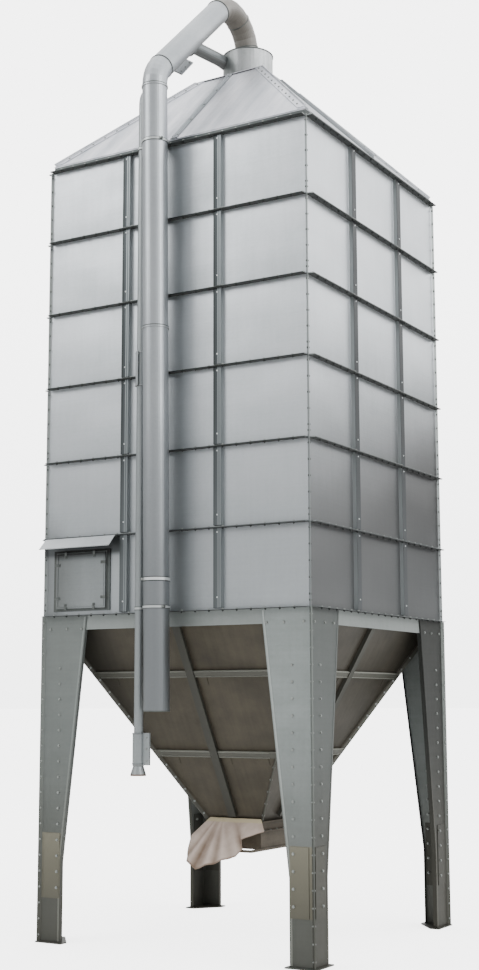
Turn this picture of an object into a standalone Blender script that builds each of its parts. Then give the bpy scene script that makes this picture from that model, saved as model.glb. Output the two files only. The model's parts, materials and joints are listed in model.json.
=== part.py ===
"""Modular square silo: bolted sheet panels on four legs, with a pyramid hopper and a pyramid roof.

Metres, +Z up. The silo's own axis is vertical and the front face looks along -Y.
All pieces hang on one empty at the silo's axis, which is set back so that the
whole part's box is centred on the world origin, with the feet at z = 0.
"""
import math

import bmesh
import bpy
from mathutils import Matrix, Vector

# Plan and heights
HALF = 1.50
MODULE = 0.78
LEVELS = 6
LEG_TOP = 3.17
WALL_TOP = LEG_TOP + LEVELS * MODULE
GAP = 0.0003
HALF_GAP = GAP / 2

# Wall sheets
SHEET = 0.004
FLANGE = 0.07
FLANGE_SHEET = 0.005
FLANGE_ROOT_CUT = 0.002
FLANGE_TIP_REACH = 0.005
CORNER_FIN = 0.025
CORNER_FIN_SHEET = 0.005
RIB_PLACE = 0.54
RIB_HALF_WIDTH = 0.052
RIB_FACE_HALF_WIDTH = 0.044
RIB_DEPTH = 0.040
RIB_FOOT = 0.020
RIB_HEAD = 0.008
BITE = 0.002

# Legs
LEG_PLATE = 0.010
LEG_FACE_WIDTHS = (0.505, 0.230)
LEG_SIDE_WIDTHS = (0.565, 0.275)
LEG_TAPER_END = 0.77
LEG_RETURN = 0.032
LEG_RETURN_SHEET = 0.008
LEG_FIN_SHEET = 0.012
EDGE_STEP = 0.0005
SPLICE_LOW = 0.43
SPLICE_HIGH = 1.045
SPLICE_SHEET = 0.006
SPLICE_START = 0.030
SPLICE_END = 0.215
BASE_THICKNESS = 0.012
BASE_MARGIN = 0.035
BASE_INNER_WIDTH = 0.10

# Ring beam
RING_HEIGHT = 0.140
RING_SHEET = 0.006
RING_FLANGE = 0.050

# Hopper
HOPPER_TOP_HALF = 1.44
HOPPER_TOP = 3.150
HOPPER_LOW_HALF = 0.29
HOPPER_LOW = 1.140
HOPPER_SHEET = 0.005
HOPPER_FIN = 0.045
HOPPER_RIB_HEIGHTS = (2.60, 1.82)
HOPPER_RIB_WIDTH = 0.062
HOPPER_RIB_DEPTH = 0.035
HOPPER_SPINE_WIDTH = 0.085
HOPPER_SPINE_DEPTH = 0.045
HOPPER_SPINE_FOOT = 0.07

# Outlet
CHUTE_HALF = 0.285
CHUTE_SHEET = 0.006
CHUTE_FLANGE_HALF = 0.335
CHUTE_FLANGE_SHEET = 0.008
CHUTE_MIDDLE = 1.040
RIM_LOW = 0.850
RIM_BAR = 0.025
RIM_FRONT = 0.500
RIM_HALF = 0.300

# Canvas sleeve on the outlet, in a plane that leans on the upper flange and the rim
CLOTH_TOP = 1.165
CLOTH_LOW = 0.675
CLOTH_THICKNESS = 0.040
CLOTH_OUTLINE = ((-0.27, 0.00), (-0.40, 0.08), (-0.43, 0.36), (-0.27, 0.56), (0.32, 0.56), (0.40, 0.43),
                 (0.15, 0.33), (0.18, 0.16))

# Roof
ROOF_UPSTAND = 0.075
ROOF_CUT = 1.185
ROOF_SHEET = 0.004
ROOF_LIP = 0.008
ROOF_FOOT_STEP = 0.0008
ROOF_FIN = 0.030
ROOF_SEAM_HALF = 0.005
ROOF_STRIP = 0.075
ROOF_STRIP_DEPTH = 0.009
CAP_HALF = 0.405
CAP_SHEET = 0.006
CAP_HOLE = 0.245
COLLAR_RADIUS = 0.275
COLLAR_TOP = 1.54
COLLAR_SHEET = 0.004
COLLAR_SIDES = 48

# Vent duct
DUCT_RADIUS = 0.125
DUCT_WALL = 0.003
DUCT_SIDES = 40
DUCT_STAND = 1.745
DUCT_END = 2.23
DUCT_JOINT = 5.92
DUCT_BEND_START = 8.40
DUCT_TOP_X = -0.065
DUCT_END_X = 0.002
DUCT_NECK_X = -0.010
DUCT_BAND = 0.008
DUCT_BAND_HEIGHT = 0.030
DUCT_STRAP = 3.466
LOW_BEND_RADIUS = 0.30
HIGH_BEND_RADIUS = 0.365
BEND_LEAD = 0.02
HIGH_BEND_LEAD = 0.02
INCLINE_LEAD = 0.03
BEND_STEPS = 5
HIGH_BEND_STEPS = 9

# Fill pipe
FILL_RADIUS = 0.0445
FILL_WALL = 0.004
FILL_SIDES = 24
FILL_X = -0.265
FILL_ENTRY_X = -0.195
FILL_STAND = 1.65
FILL_END = 1.76
FILL_BEND_START = 8.29
FILL_BEND_RADIUS = 0.20
FILL_ENTRY = 9.298
SPOUT_RADIUS = 0.070
SPOUT_BEND_RADIUS = 0.12
SPOUT_LAP = 0.05
SLEEVE_RADIUS = 0.057
SLEEVE_LOW = 5.38
SLEEVE_HIGH = 5.72
INLET_HIGH = 2.03
INLET_LOW = 1.63
INLET_LIP = 0.075
INLET_LIP_SHEET = 0.008
INLET_LIP_HEIGHT = 0.012
INLET_THROAT = 0.006
INLET_SHOULDER = 0.030
INLET_SLOPE = 0.010
INLET_BORE_STEP = 0.005
LUG_THICKNESS = 0.020
LUG_REACH = 0.130

# Pipe clamps
CLAMP_SHEET = 0.006
CLAMP_HEIGHT = 0.032
CLAMP_SPACE = 0.012
GUSSET = 0.010
GUSSET_ROOT = 1.515

# Hatch and canopy
HATCH_CENTRE = -1.062
HATCH_FOOT = 0.045
HATCH_WIDTH = 0.690
HATCH_HEIGHT = 0.610
HATCH_BAR = 0.080
HATCH_DEPTH = 0.012
COVER_WIDTH = 0.604
COVER_HEIGHT = 0.552
COVER_LIFT = 0.026
COVER_DEPTH = 0.022
CANOPY_LEFT = -1.48
CANOPY_RIGHT = -0.62
CANOPY_RUN = 0.105
CANOPY_DROP = 0.107
CANOPY_SHEET = 0.003
CANOPY_ROOT = 0.060

FRONT_REACH = DUCT_STAND + DUCT_RADIUS + DUCT_BAND
BACK_REACH = HALF + FLANGE
AXIS_Y = (FRONT_REACH - BACK_REACH) / 2

SIDES = ("front", "right", "back", "left")
LEG_CORNERS = {
    "leg_front_left": (1, 1),
    "leg_front_right": (-1, 1),
    "leg_back_right": (-1, -1),
    "leg_back_left": (1, -1),
}

WEDGE = 2.0
TALL = 12.0
ROOT_TWO = math.sqrt(2)
QUARTER = math.pi / 2
MERGE = 0.00001


def clear_scene():
    """Removes the objects that a new file starts with."""
    for item in list(bpy.data.objects):
        bpy.data.objects.remove(item, do_unlink=True)


def new_collection(name):
    """Adds a collection to the scene."""
    collection = bpy.data.collections.new(name)
    bpy.context.scene.collection.children.link(collection)
    return collection


def new_material(name, colour, roughness, metallic):
    """A plain finish for the model."""
    material = bpy.data.materials.new(name)
    material.use_nodes = True
    shader = material.node_tree.nodes["Principled BSDF"]
    shader.inputs["Base Color"].default_value = (*colour, 1)
    shader.inputs["Roughness"].default_value = roughness
    shader.inputs["Metallic"].default_value = metallic
    return material


def settled(holder):
    """The mesh of an object with its modifiers, with doubled points merged, and the object removed."""
    bpy.context.view_layer.update()
    seen = holder.evaluated_get(bpy.context.evaluated_depsgraph_get())
    mesh = bpy.data.meshes.new_from_object(seen)
    mesh.transform(holder.matrix_world)
    bpy.data.objects.remove(holder, do_unlink=True)
    shape = bmesh.new()
    shape.from_mesh(mesh)
    bmesh.ops.remove_doubles(shape, verts=shape.verts, dist=MERGE)
    bmesh.ops.recalc_face_normals(shape, faces=shape.faces)
    shape.to_mesh(mesh)
    shape.free()
    return mesh


def held(mesh):
    """A working object for a mesh."""
    holder = bpy.data.objects.new("work", mesh)
    CUTTERS.objects.link(holder)
    holder.hide_render = True
    holder.display_type = "WIRE"
    return holder


def moved(mesh, place):
    """A copy of a mesh moved by a matrix, kept facing out under a mirror."""
    copy = mesh.copy()
    copy.transform(place)
    if place.determinant() < 0:
        copy.flip_normals()
    return copy


def plate(outline, thickness, place=None):
    """A closed plate with a flat outline in its XY plane, centred on z = 0, then placed."""
    curve = bpy.data.curves.new("outline", "CURVE")
    curve.dimensions = "2D"
    curve.fill_mode = "BOTH"
    curve.extrude = thickness / 2
    spline = curve.splines.new("POLY")
    spline.points.add(len(outline) - 1)
    for point, (x, y) in zip(spline.points, outline):
        point.co = (x, y, 0, 1)
    spline.use_cyclic_u = True
    mesh = settled(held(curve))
    if place is not None:
        mesh.transform(place)
    return mesh


def block(low, high):
    """A box between two corners."""
    shape = bmesh.new()
    size = Vector(high) - Vector(low)
    middle = (Vector(high) + Vector(low)) / 2
    bmesh.ops.create_cube(shape, size=1, matrix=Matrix.Translation(middle) @ Matrix.Diagonal((*size, 1)))
    mesh = bpy.data.meshes.new("block")
    shape.to_mesh(mesh)
    shape.free()
    return mesh


def combined(operation, first, *others):
    """One mesh from several by the exact Boolean solver."""
    base = held(first)
    helpers = [held(other) for other in others]
    for helper in helpers:
        step = base.modifiers.new("join", "BOOLEAN")
        step.operation = operation
        step.solver = "EXACT"
        step.object = helper
    mesh = settled(base)
    for helper in helpers:
        bpy.data.objects.remove(helper, do_unlink=True)
    return mesh


def union(first, *others):
    """Joins closed shapes that overlap."""
    return combined("UNION", first, *others)


def difference(first, *others):
    """Cuts closed shapes out of the first."""
    return combined("DIFFERENCE", first, *others)


def intersection(first, *others):
    """Keeps what the shapes share."""
    return combined("INTERSECT", first, *others)


def mitred(mesh):
    """Keeps the part of a front piece between the two upright planes through the silo's corners."""
    apex = HALF_GAP * ROOT_TWO
    outline = [(0, -apex), (-WEDGE, -WEDGE - apex), (WEDGE, -WEDGE - apex)]
    return intersection(mesh, plate(outline, TALL, Matrix.Translation((0, 0, TALL / 2))))


def axes(origin, across, up):
    """A matrix that takes X to across, Y to up and Z to their normal."""
    across = Vector(across).normalized()
    up = Vector(up).normalized()
    out = across.cross(up)
    return Matrix.Translation(origin) @ Matrix((across, up, out)).transposed().to_4x4()


def mirrored(mesh, x=-1, y=1):
    """The mirror image across the silo's middle planes, with -1 for each axis that turns over."""
    return moved(mesh, Matrix.Diagonal((x, y, 1, 1)))


def corner_fin(inner, outer, width, sheet):
    """A bolted edge flange along the front right diagonal, between two (half width, height) points."""
    start = Vector((inner[0] * ROOT_TWO, inner[1]))
    end = Vector((outer[0] * ROOT_TWO, outer[1]))
    along = (end - start).normalized()
    away = Vector((along.y, -along.x))
    bite = math.copysign(BITE, width)
    outline = [start - away * bite, end - away * bite, end + away * width, start + away * width]
    place = axes(Vector((-1, -1, 0)) / ROOT_TWO * (sheet / 2), (1, -1, 0), (0, 0, 1))
    return plate(outline, sheet, place)


def turned(profile, sides):
    """A closed ring from a profile of (radius, height) points, by Screw."""
    mesh = bpy.data.meshes.new("profile")
    points = [(radius, 0, height) for radius, height in profile]
    rim = [(i, (i + 1) % len(points)) for i in range(len(points))]
    mesh.from_pydata(points, rim, [])
    holder = held(mesh)
    spin = holder.modifiers.new("spin", "SCREW")
    spin.steps = sides
    spin.render_steps = sides
    spin.use_merge_vertices = True
    spin.merge_threshold = 0.0001
    return settled(holder)


def disc(radius, low, high, sides, centre=(0, 0)):
    """A solid upright cylinder."""
    shape = bmesh.new()
    place = Matrix.Translation((*centre, (low + high) / 2))
    bmesh.ops.create_cone(shape, cap_ends=True, segments=sides, radius1=radius, radius2=radius,
                          depth=high - low, matrix=place)
    mesh = bpy.data.meshes.new("disc")
    shape.to_mesh(mesh)
    shape.free()
    return mesh


def tube(points, radius, wall, sides):
    """A hollow pipe along a line of points, open at both ends."""
    curve = bpy.data.curves.new("route", "CURVE")
    curve.dimensions = "3D"
    curve.bevel_depth = radius
    curve.bevel_resolution = (sides - 4) // 2
    curve.use_fill_caps = False
    curve.twist_mode = "MINIMUM"
    spline = curve.splines.new("POLY")
    spline.points.add(len(points) - 1)
    for point, place in zip(spline.points, points):
        point.co = (*place, 1)
    skin = held(settled(held(curve)))
    shell = skin.modifiers.new("wall", "SOLIDIFY")
    shell.thickness = wall
    shell.offset = -1
    shell.use_even_offset = True
    return settled(skin)


def wall_flange(bottom, top):
    """An outward flange of a wall or roof sheet, cut near the corner with a slight slant outwards."""
    root = HALF - FLANGE_ROOT_CUT
    tip = HALF + FLANGE_TIP_REACH
    inside = -HALF + BITE
    outside = -HALF - FLANGE
    outline = [(-root, inside), (root, inside), (root, -HALF), (tip, outside), (-tip, outside), (-root, -HALF)]
    return plate(outline, top - bottom, Matrix.Translation((0, 0, (bottom + top) / 2)))


def rib(centre):
    """An upright stiffener of hat section on the outside of a wall sheet."""
    low = RIB_FOOT
    high = MODULE - RIB_HEAD
    outline = [
        (centre - RIB_HALF_WIDTH, -HALF + BITE),
        (centre - RIB_HALF_WIDTH, -HALF),
        (centre - RIB_FACE_HALF_WIDTH, -HALF - RIB_DEPTH),
        (centre + RIB_FACE_HALF_WIDTH, -HALF - RIB_DEPTH),
        (centre + RIB_HALF_WIDTH, -HALF),
        (centre + RIB_HALF_WIDTH, -HALF + BITE),
    ]
    return plate(outline, high - low, Matrix.Translation((0, 0, (low + high) / 2)))


def wall_panel():
    """One sheet of a module: web, four outward flanges and two stiffeners."""
    fin_width = CORNER_FIN_SHEET * ROOT_TWO
    half = [
        (HALF - SHEET, -HALF + SHEET),
        (HALF + CORNER_FIN, -HALF - CORNER_FIN),
        (HALF + CORNER_FIN - fin_width, -HALF - CORNER_FIN),
        (HALF - fin_width, -HALF),
    ]
    outline = half + [(-x, y) for x, y in reversed(half)]
    height = MODULE - GAP
    web = plate(outline, height, Matrix.Translation((0, 0, MODULE / 2)))
    low = wall_flange(HALF_GAP, HALF_GAP + FLANGE_SHEET)
    high = wall_flange(MODULE - HALF_GAP - FLANGE_SHEET, MODULE - HALF_GAP)
    return mitred(union(web, low, high, rib(-RIB_PLACE), rib(RIB_PLACE)))


def hatch_opening():
    """The hole in the sheet behind the hatch frame."""
    half = HATCH_WIDTH / 2 - HATCH_BAR
    low = (HATCH_CENTRE - half, -HALF - FLANGE, HATCH_FOOT + HATCH_BAR)
    high = (HATCH_CENTRE + half, -HALF + FLANGE, HATCH_FOOT + HATCH_HEIGHT - HATCH_BAR)
    return block(low, high)


def ring_beam():
    """Front length of the angle section that carries the walls on the legs."""
    low = LEG_TOP - RING_HEIGHT
    high = LEG_TOP - HALF_GAP
    web = block((-HALF, -HALF, low), (HALF, -HALF + RING_SHEET, high))
    ledge = block((-HALF, -HALF, high - RING_SHEET), (HALF, -HALF + RING_FLANGE, high))
    return mitred(union(web, ledge))


def leg_plate(top_width, low_width):
    """Front plate of the front left leg with its return flange and splice plates."""
    face = -HALF - GAP
    corner = -HALF - GAP - LEG_PLATE
    top = LEG_TOP - HALF_GAP
    edge = [
        (-HALF + low_width, BASE_THICKNESS - BITE),
        (-HALF + low_width, LEG_TAPER_END),
        (-HALF + top_width, top),
    ]
    outline = [(corner, BASE_THICKNESS - BITE)] + edge + [(corner, top)]
    upright = axes((0, face - LEG_PLATE / 2, 0), (1, 0, 0), (0, 0, 1))
    web = plate(outline, LEG_PLATE, upright)
    low_ring = LEG_TOP - RING_HEIGHT - GAP
    slope = (top_width - low_width) / (top - LEG_TAPER_END)
    reach = -HALF + low_width + slope * (low_ring - LEG_TAPER_END)
    line = [(x - EDGE_STEP, z) for x, z in edge[:2] + [(reach, low_ring)]]
    band = line + [(x - LEG_RETURN_SHEET, z) for x, z in reversed(line)]
    deep = axes((0, face + LEG_RETURN / 2 - BITE, 0), (1, 0, 0), (0, 0, 1))
    fold = plate(band, LEG_RETURN, deep)
    outer = block((-HALF + SPLICE_START, corner - SPLICE_SHEET, SPLICE_LOW),
                  (-HALF + SPLICE_END, corner + BITE, SPLICE_HIGH))
    inner = block((-HALF + SPLICE_START, face - BITE, SPLICE_LOW - SPLICE_START),
                  (-HALF + SPLICE_END, face + SPLICE_SHEET, SPLICE_HIGH))
    return union(web, fold, outer, inner)


def base_plate():
    """Foot plate under the front left leg, cut off towards the silo's middle."""
    out = -HALF - LEG_PLATE - BASE_MARGIN
    far_x = -HALF + LEG_FACE_WIDTHS[1] + BASE_MARGIN
    far_y = -HALF + LEG_SIDE_WIDTHS[1] + BASE_MARGIN
    near = out + BASE_INNER_WIDTH
    outline = [(out, out), (far_x, out), (far_x, near), (near, far_y), (out, far_y)]
    return plate(outline, BASE_THICKNESS, Matrix.Translation((0, 0, BASE_THICKNESS / 2)))


def leg():
    """The front left leg: two tapered plates, the corner flange and the foot."""
    front = leg_plate(*LEG_FACE_WIDTHS)
    swap_axes = Matrix(((0, 1, 0, 0), (1, 0, 0, 0), (0, 0, 1, 0), (0, 0, 0, 1)))
    left = moved(leg_plate(*LEG_SIDE_WIDTHS), swap_axes)
    corner = -HALF - LEG_PLATE
    length = (CORNER_FIN + LEG_PLATE / 2) * ROOT_TWO
    middle = corner + (LEG_PLATE / 2 - CORNER_FIN) / 2
    fin_low = BASE_THICKNESS - BITE
    fin_high = LEG_TOP - GAP
    centre = Matrix.Translation((middle, middle, (fin_low + fin_high) / 2))
    place = centre @ Matrix.Rotation(QUARTER / 2, 4, "Z")
    x = length / 2
    y = LEG_FIN_SHEET / 2
    fin = plate([(-x, -y), (x, -y), (x, y), (-x, y)], fin_high - fin_low, place)
    return union(front, left, fin, base_plate())


def hopper_panel():
    """Front slope of the hopper with its stiffeners, its edge flanges and the flange on the ring beam."""
    low = Vector((0, -HOPPER_LOW_HALF, HOPPER_LOW))
    high = Vector((0, -HOPPER_TOP_HALF, HOPPER_TOP))
    up = high - low
    length = up.length
    place = axes(low, (1, 0, 0), up)

    def local_box(x, start, end, inner, outer):
        return moved(block((-x, start, inner), (x, end, outer)), place)

    slab = local_box(HALF, -HOPPER_SHEET, length, -HOPPER_SHEET, 0)
    spine = local_box(HOPPER_SPINE_WIDTH / 2, HOPPER_SPINE_FOOT, length - HOPPER_SPINE_WIDTH, -BITE,
                      HOPPER_SPINE_DEPTH)
    ribs = []
    for height in HOPPER_RIB_HEIGHTS:
        middle = (height - HOPPER_LOW) / (HOPPER_TOP - HOPPER_LOW) * length
        ribs.append(local_box(HALF, middle - HOPPER_RIB_WIDTH / 2, middle + HOPPER_RIB_WIDTH / 2,
                              -BITE, HOPPER_RIB_DEPTH))
    root = -HALF + RING_SHEET + GAP
    lip = -HOPPER_TOP_HALF + HOPPER_SHEET
    ledge = block((-HALF, root, HOPPER_TOP - HOPPER_SHEET), (HALF, lip, HOPPER_TOP))
    strap = block((-HALF, root, LEG_TOP - RING_HEIGHT + BITE), (HALF, root + HOPPER_SHEET, HOPPER_TOP))
    fin = corner_fin((HOPPER_TOP_HALF, HOPPER_TOP - HOPPER_SHEET), (HOPPER_LOW_HALF, HOPPER_LOW), -HOPPER_FIN,
                     CORNER_FIN_SHEET)
    whole = union(slab, spine, *ribs, ledge, strap, fin, mirrored(fin))
    below = block((-HALF, -HALF, 0), (HALF, HALF, HOPPER_LOW))
    return mitred(difference(whole, below))


def outlet_chute():
    """Square outlet with flanges and the low rim that holds the canvas clear."""
    top = HOPPER_LOW - GAP
    inner = CHUTE_HALF - CHUTE_SHEET
    low = RIM_LOW + RIM_BAR / 2
    body = block((-CHUTE_HALF, -CHUTE_HALF, low), (CHUTE_HALF, CHUTE_HALF, top))
    flanges = []
    for height in (top - CHUTE_FLANGE_SHEET, CHUTE_MIDDLE):
        reach = CHUTE_FLANGE_HALF
        flanges.append(block((-reach, -reach, height), (reach, reach, height + CHUTE_FLANGE_SHEET)))
    bore = block((-inner, -inner, low - RIM_BAR), (inner, inner, top + RIM_BAR))
    solid = difference(union(body, *flanges), bore)
    rim = difference(
        block((-RIM_HALF, -RIM_FRONT, RIM_LOW), (RIM_HALF, RIM_HALF, RIM_LOW + RIM_BAR)),
        block((-RIM_HALF + RIM_BAR, -RIM_FRONT + RIM_BAR, RIM_LOW - RIM_BAR),
              (RIM_HALF - RIM_BAR, RIM_HALF - RIM_BAR, RIM_LOW + 2 * RIM_BAR)))
    return union(solid, rim)


def cloth_reach(height):
    """How far in front of the silo's axis the canvas lies, leaning on the upper flange and the rim."""
    high = HOPPER_LOW - GAP
    low = RIM_LOW + RIM_BAR
    lean = (RIM_FRONT - CHUTE_FLANGE_HALF) / (high - low)
    clear = (CLOTH_THICKNESS / 2 + GAP) * math.sqrt(1 + lean * lean)
    return CHUTE_FLANGE_HALF + lean * (high - height) + clear


def outlet_cloth():
    """The canvas that hangs from the outlet's front edge, spread towards the left."""
    top = Vector((0, -cloth_reach(CLOTH_TOP), CLOTH_TOP))
    low = Vector((0, -cloth_reach(CLOTH_LOW), CLOTH_LOW))
    return plate(CLOTH_OUTLINE, CLOTH_THICKNESS, axes(low, (1, 0, 0), top - low))


def roof_side():
    """Front slope of the roof: upstand, sloping sheet, mid seam and hip flanges."""
    base = WALL_TOP
    foot_top = base + ROOF_UPSTAND - ROOF_FOOT_STEP
    foot = block((-HALF, -HALF, base + HALF_GAP), (HALF, -HALF + ROOF_SHEET, foot_top))
    shelf = wall_flange(base + HALF_GAP, base + HALF_GAP + FLANGE_SHEET)
    run = ROOF_CUT - ROOF_UPSTAND + ROOF_FIN
    slope = (run + ROOF_FIN) * ROOT_TWO
    place = axes((0, -HALF, base + ROOF_UPSTAND), (1, 0, 0), (0, 1, 1))
    sheet = moved(block((-WEDGE, -ROOF_LIP, -ROOF_SHEET), (WEDGE, slope + ROOF_FIN, 0)), place)
    seam = moved(block((-ROOF_SEAM_HALF, 0, -BITE), (ROOF_SEAM_HALF, slope, ROOF_FIN)), place)
    half = ROOF_STRIP / 2
    cover = moved(block((-half, ROOF_LIP, -BITE), (half, slope + ROOF_LIP, ROOF_STRIP_DEPTH)), place)
    fin = corner_fin((HALF - ROOF_LIP, base + ROOF_UPSTAND + ROOF_LIP),
                     (HALF - run, base + ROOF_UPSTAND + run), ROOF_FIN, CORNER_FIN_SHEET)
    start = HALF - 2 * ROOF_LIP
    end = HALF - run - ROOF_LIP
    hip = [(start + ROOF_FIN, (HALF - start) * ROOT_TWO), (end + ROOF_FIN, (HALF - end) * ROOT_TWO),
           (end - ROOF_STRIP, (HALF - end) * ROOT_TWO), (start - ROOF_STRIP, (HALF - start) * ROOT_TWO)]
    strip = plate(hip, ROOF_STRIP_DEPTH + BITE,
                  place @ Matrix.Translation((0, 0, (ROOF_STRIP_DEPTH - BITE) / 2)))
    whole = union(foot, shelf, sheet, seam, cover, fin, mirrored(fin), strip, mirrored(strip))
    above = block((-HALF, -HALF, base + ROOF_CUT), (HALF, HALF, TALL))
    return mitred(difference(whole, above))


def roof_cap():
    """Flat plate on top of the roof with the hole under the collar."""
    low = WALL_TOP + ROOF_CUT + GAP
    high = low + CAP_SHEET
    lid = block((-CAP_HALF, -CAP_HALF, low), (CAP_HALF, CAP_HALF, high))
    return difference(lid, disc(CAP_HOLE, low - CAP_SHEET, high + CAP_SHEET, COLLAR_SIDES))


def collar():
    """Round top fitting with its lid, open to the silo below, to the duct above and to the fill pipe."""
    low = WALL_TOP + ROOF_CUT + GAP + CAP_SHEET + GAP
    high = WALL_TOP + COLLAR_TOP
    body = disc(COLLAR_RADIUS, low, high, COLLAR_SIDES)
    bore = disc(COLLAR_RADIUS - COLLAR_SHEET, low - COLLAR_SHEET, high - COLLAR_SHEET, COLLAR_SIDES)
    below = high - 2 * COLLAR_SHEET
    neck = disc(DUCT_RADIUS - DUCT_WALL, below, high + COLLAR_SHEET, DUCT_SIDES, (DUCT_NECK_X, 0))
    entry = moved(disc(FILL_RADIUS + GAP, 0, COLLAR_RADIUS, FILL_SIDES),
                  axes((FILL_ENTRY_X, -COLLAR_RADIUS, FILL_ENTRY), (1, 0, 0), (0, 0, -1)))
    return difference(body, bore, neck, entry)


def duct_x(height):
    """How far the vent duct's axis leans at a height."""
    share = (height - DUCT_END) / (DUCT_BEND_START - DUCT_END)
    return DUCT_END_X + (DUCT_TOP_X - DUCT_END_X) * share


def duct_length(low, high, straps=()):
    """An upright length of the leaning duct with a bead at its top and raised straps at some heights."""
    inner = DUCT_RADIUS - DUCT_WALL
    proud = DUCT_RADIUS + DUCT_BAND
    half = DUCT_BAND_HEIGHT / 2
    profile = [(inner, low), (inner, high), (proud, high), (proud, high - half), (DUCT_RADIUS, high - half)]
    for middle in straps:
        top = middle + half
        bottom = middle - half
        profile += [(DUCT_RADIUS, top), (proud, top), (proud, bottom), (DUCT_RADIUS, bottom)]
    profile.append((DUCT_RADIUS, low))
    lean = Matrix.Identity(4)
    lean[0][2] = (DUCT_TOP_X - DUCT_END_X) / (DUCT_BEND_START - DUCT_END)
    start = Matrix.Translation((duct_x(0), -DUCT_STAND, 0))
    return moved(turned(profile, DUCT_SIDES), start @ lean)


def arc(centre, radius, start, end, steps, x):
    """Points of a bend in the plane of one x, angles from +Y towards +Z."""
    points = []
    for step in range(steps + 1):
        angle = start + (end - start) * step / steps
        points.append((x, centre[0] + radius * math.cos(angle), centre[1] + radius * math.sin(angle)))
    return points


def duct_high_bend():
    """Centre of the bend over the collar, in the plane of the duct."""
    rise = HIGH_BEND_RADIUS / ROOT_TWO
    low_start = -DUCT_STAND + LOW_BEND_RADIUS * (1 - 1 / ROOT_TWO)
    low_height = DUCT_BEND_START + BEND_LEAD + LOW_BEND_RADIUS / ROOT_TWO
    run = -HIGH_BEND_RADIUS - rise - low_start
    return -HIGH_BEND_RADIUS, low_height + run - rise


def duct_joint(before):
    """Point on the inclined run where its end meets the upper bend, a distance before the bend's arc."""
    bend = duct_high_bend()
    rise = HIGH_BEND_RADIUS / ROOT_TWO
    step = before / ROOT_TWO
    return (DUCT_NECK_X, bend[0] - rise - step, bend[1] + rise - step)


def duct_incline():
    """Lower bend and the run up beside the roof."""
    start = DUCT_BEND_START + BEND_LEAD
    arc_centre = (-DUCT_STAND + LOW_BEND_RADIUS, start)
    points = [(DUCT_TOP_X, -DUCT_STAND, DUCT_BEND_START + GAP)]
    points += arc(arc_centre, LOW_BEND_RADIUS, math.pi, math.pi - QUARTER / 2, BEND_STEPS, DUCT_TOP_X)
    points.append(duct_joint(HIGH_BEND_LEAD + INCLINE_LEAD))
    points.append(duct_joint(HIGH_BEND_LEAD + GAP))
    return tube(points, DUCT_RADIUS, DUCT_WALL, DUCT_SIDES)


def duct_bend():
    """Upper bend down onto the collar's lid."""
    points = [duct_joint(HIGH_BEND_LEAD)]
    points += arc(duct_high_bend(), HIGH_BEND_RADIUS, math.pi - QUARTER / 2, 0, HIGH_BEND_STEPS, DUCT_NECK_X)
    points.append((DUCT_NECK_X, 0, WALL_TOP + COLLAR_TOP + GAP))
    return tube(points, DUCT_RADIUS, DUCT_WALL, DUCT_SIDES)


def fill_bend_end():
    """Depth and height where the fill pipe's lower bend ends and its straight slope starts."""
    rise = FILL_BEND_RADIUS / ROOT_TWO
    return -FILL_STAND + FILL_BEND_RADIUS - rise, FILL_BEND_START + rise


def spout_bend():
    """Centre of the spout's bend, from the slope into the level run to the collar."""
    depth, height = fill_bend_end()
    corner = depth + FILL_ENTRY - height
    tangent = SPOUT_BEND_RADIUS * math.tan(QUARTER / 4)
    return corner + tangent, FILL_ENTRY - SPOUT_BEND_RADIUS


def fill_pipe():
    """The fill pipe: up the front and along the roof's slope into the spout."""
    points = [(FILL_X, -FILL_STAND, FILL_END)]
    points += arc((-FILL_STAND + FILL_BEND_RADIUS, FILL_BEND_START), FILL_BEND_RADIUS, math.pi,
                  math.pi - QUARTER / 2, BEND_STEPS, FILL_X)
    depth, height = spout_bend()
    share = SPOUT_BEND_RADIUS / ROOT_TWO + BEND_LEAD / ROOT_TWO
    points.append((FILL_X, depth - share, height + SPOUT_BEND_RADIUS / ROOT_TWO - BEND_LEAD / ROOT_TWO))
    return tube(points, FILL_RADIUS, FILL_WALL, FILL_SIDES)


def fill_spout():
    """Thick sleeve over the pipe's end that bends level and enters the collar's round side."""
    depth, height = spout_bend()
    back = (SPOUT_LAP + BEND_LEAD) / ROOT_TWO
    share = SPOUT_BEND_RADIUS / ROOT_TWO
    points = [(FILL_X, depth - share - back, height + share - back)]
    points += arc((depth, height), SPOUT_BEND_RADIUS, math.pi - QUARTER / 2, QUARTER, BEND_STEPS, FILL_X)
    points.append((FILL_ENTRY_X, -COLLAR_RADIUS, FILL_ENTRY))
    points.append((FILL_ENTRY_X, -COLLAR_RADIUS / ROOT_TWO + SPOUT_LAP, FILL_ENTRY))
    wall = (SPOUT_RADIUS - FILL_RADIUS - GAP) * math.cos(math.pi / FILL_SIDES)
    spout = tube(points, SPOUT_RADIUS, wall, FILL_SIDES)
    low = WALL_TOP + ROOF_CUT
    trim = disc(COLLAR_RADIUS + GAP, low, WALL_TOP + COLLAR_TOP + FILL_RADIUS, COLLAR_SIDES)
    return difference(spout, trim)


def fill_sleeve():
    """Bolted sleeve where two lengths of the fill pipe meet."""
    inner = FILL_RADIUS + GAP
    outer = SLEEVE_RADIUS
    profile = [(inner, SLEEVE_LOW), (inner, SLEEVE_HIGH), (outer, SLEEVE_HIGH), (outer, SLEEVE_LOW)]
    sleeve = turned(profile, FILL_SIDES)
    lug = block((-LUG_THICKNESS / 2, -SLEEVE_RADIUS - LUG_THICKNESS, SLEEVE_LOW),
                (LUG_THICKNESS / 2, -SLEEVE_RADIUS + BITE * 2, SLEEVE_HIGH))
    return moved(union(sleeve, lug), Matrix.Translation((FILL_X, -FILL_STAND, 0)))


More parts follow.
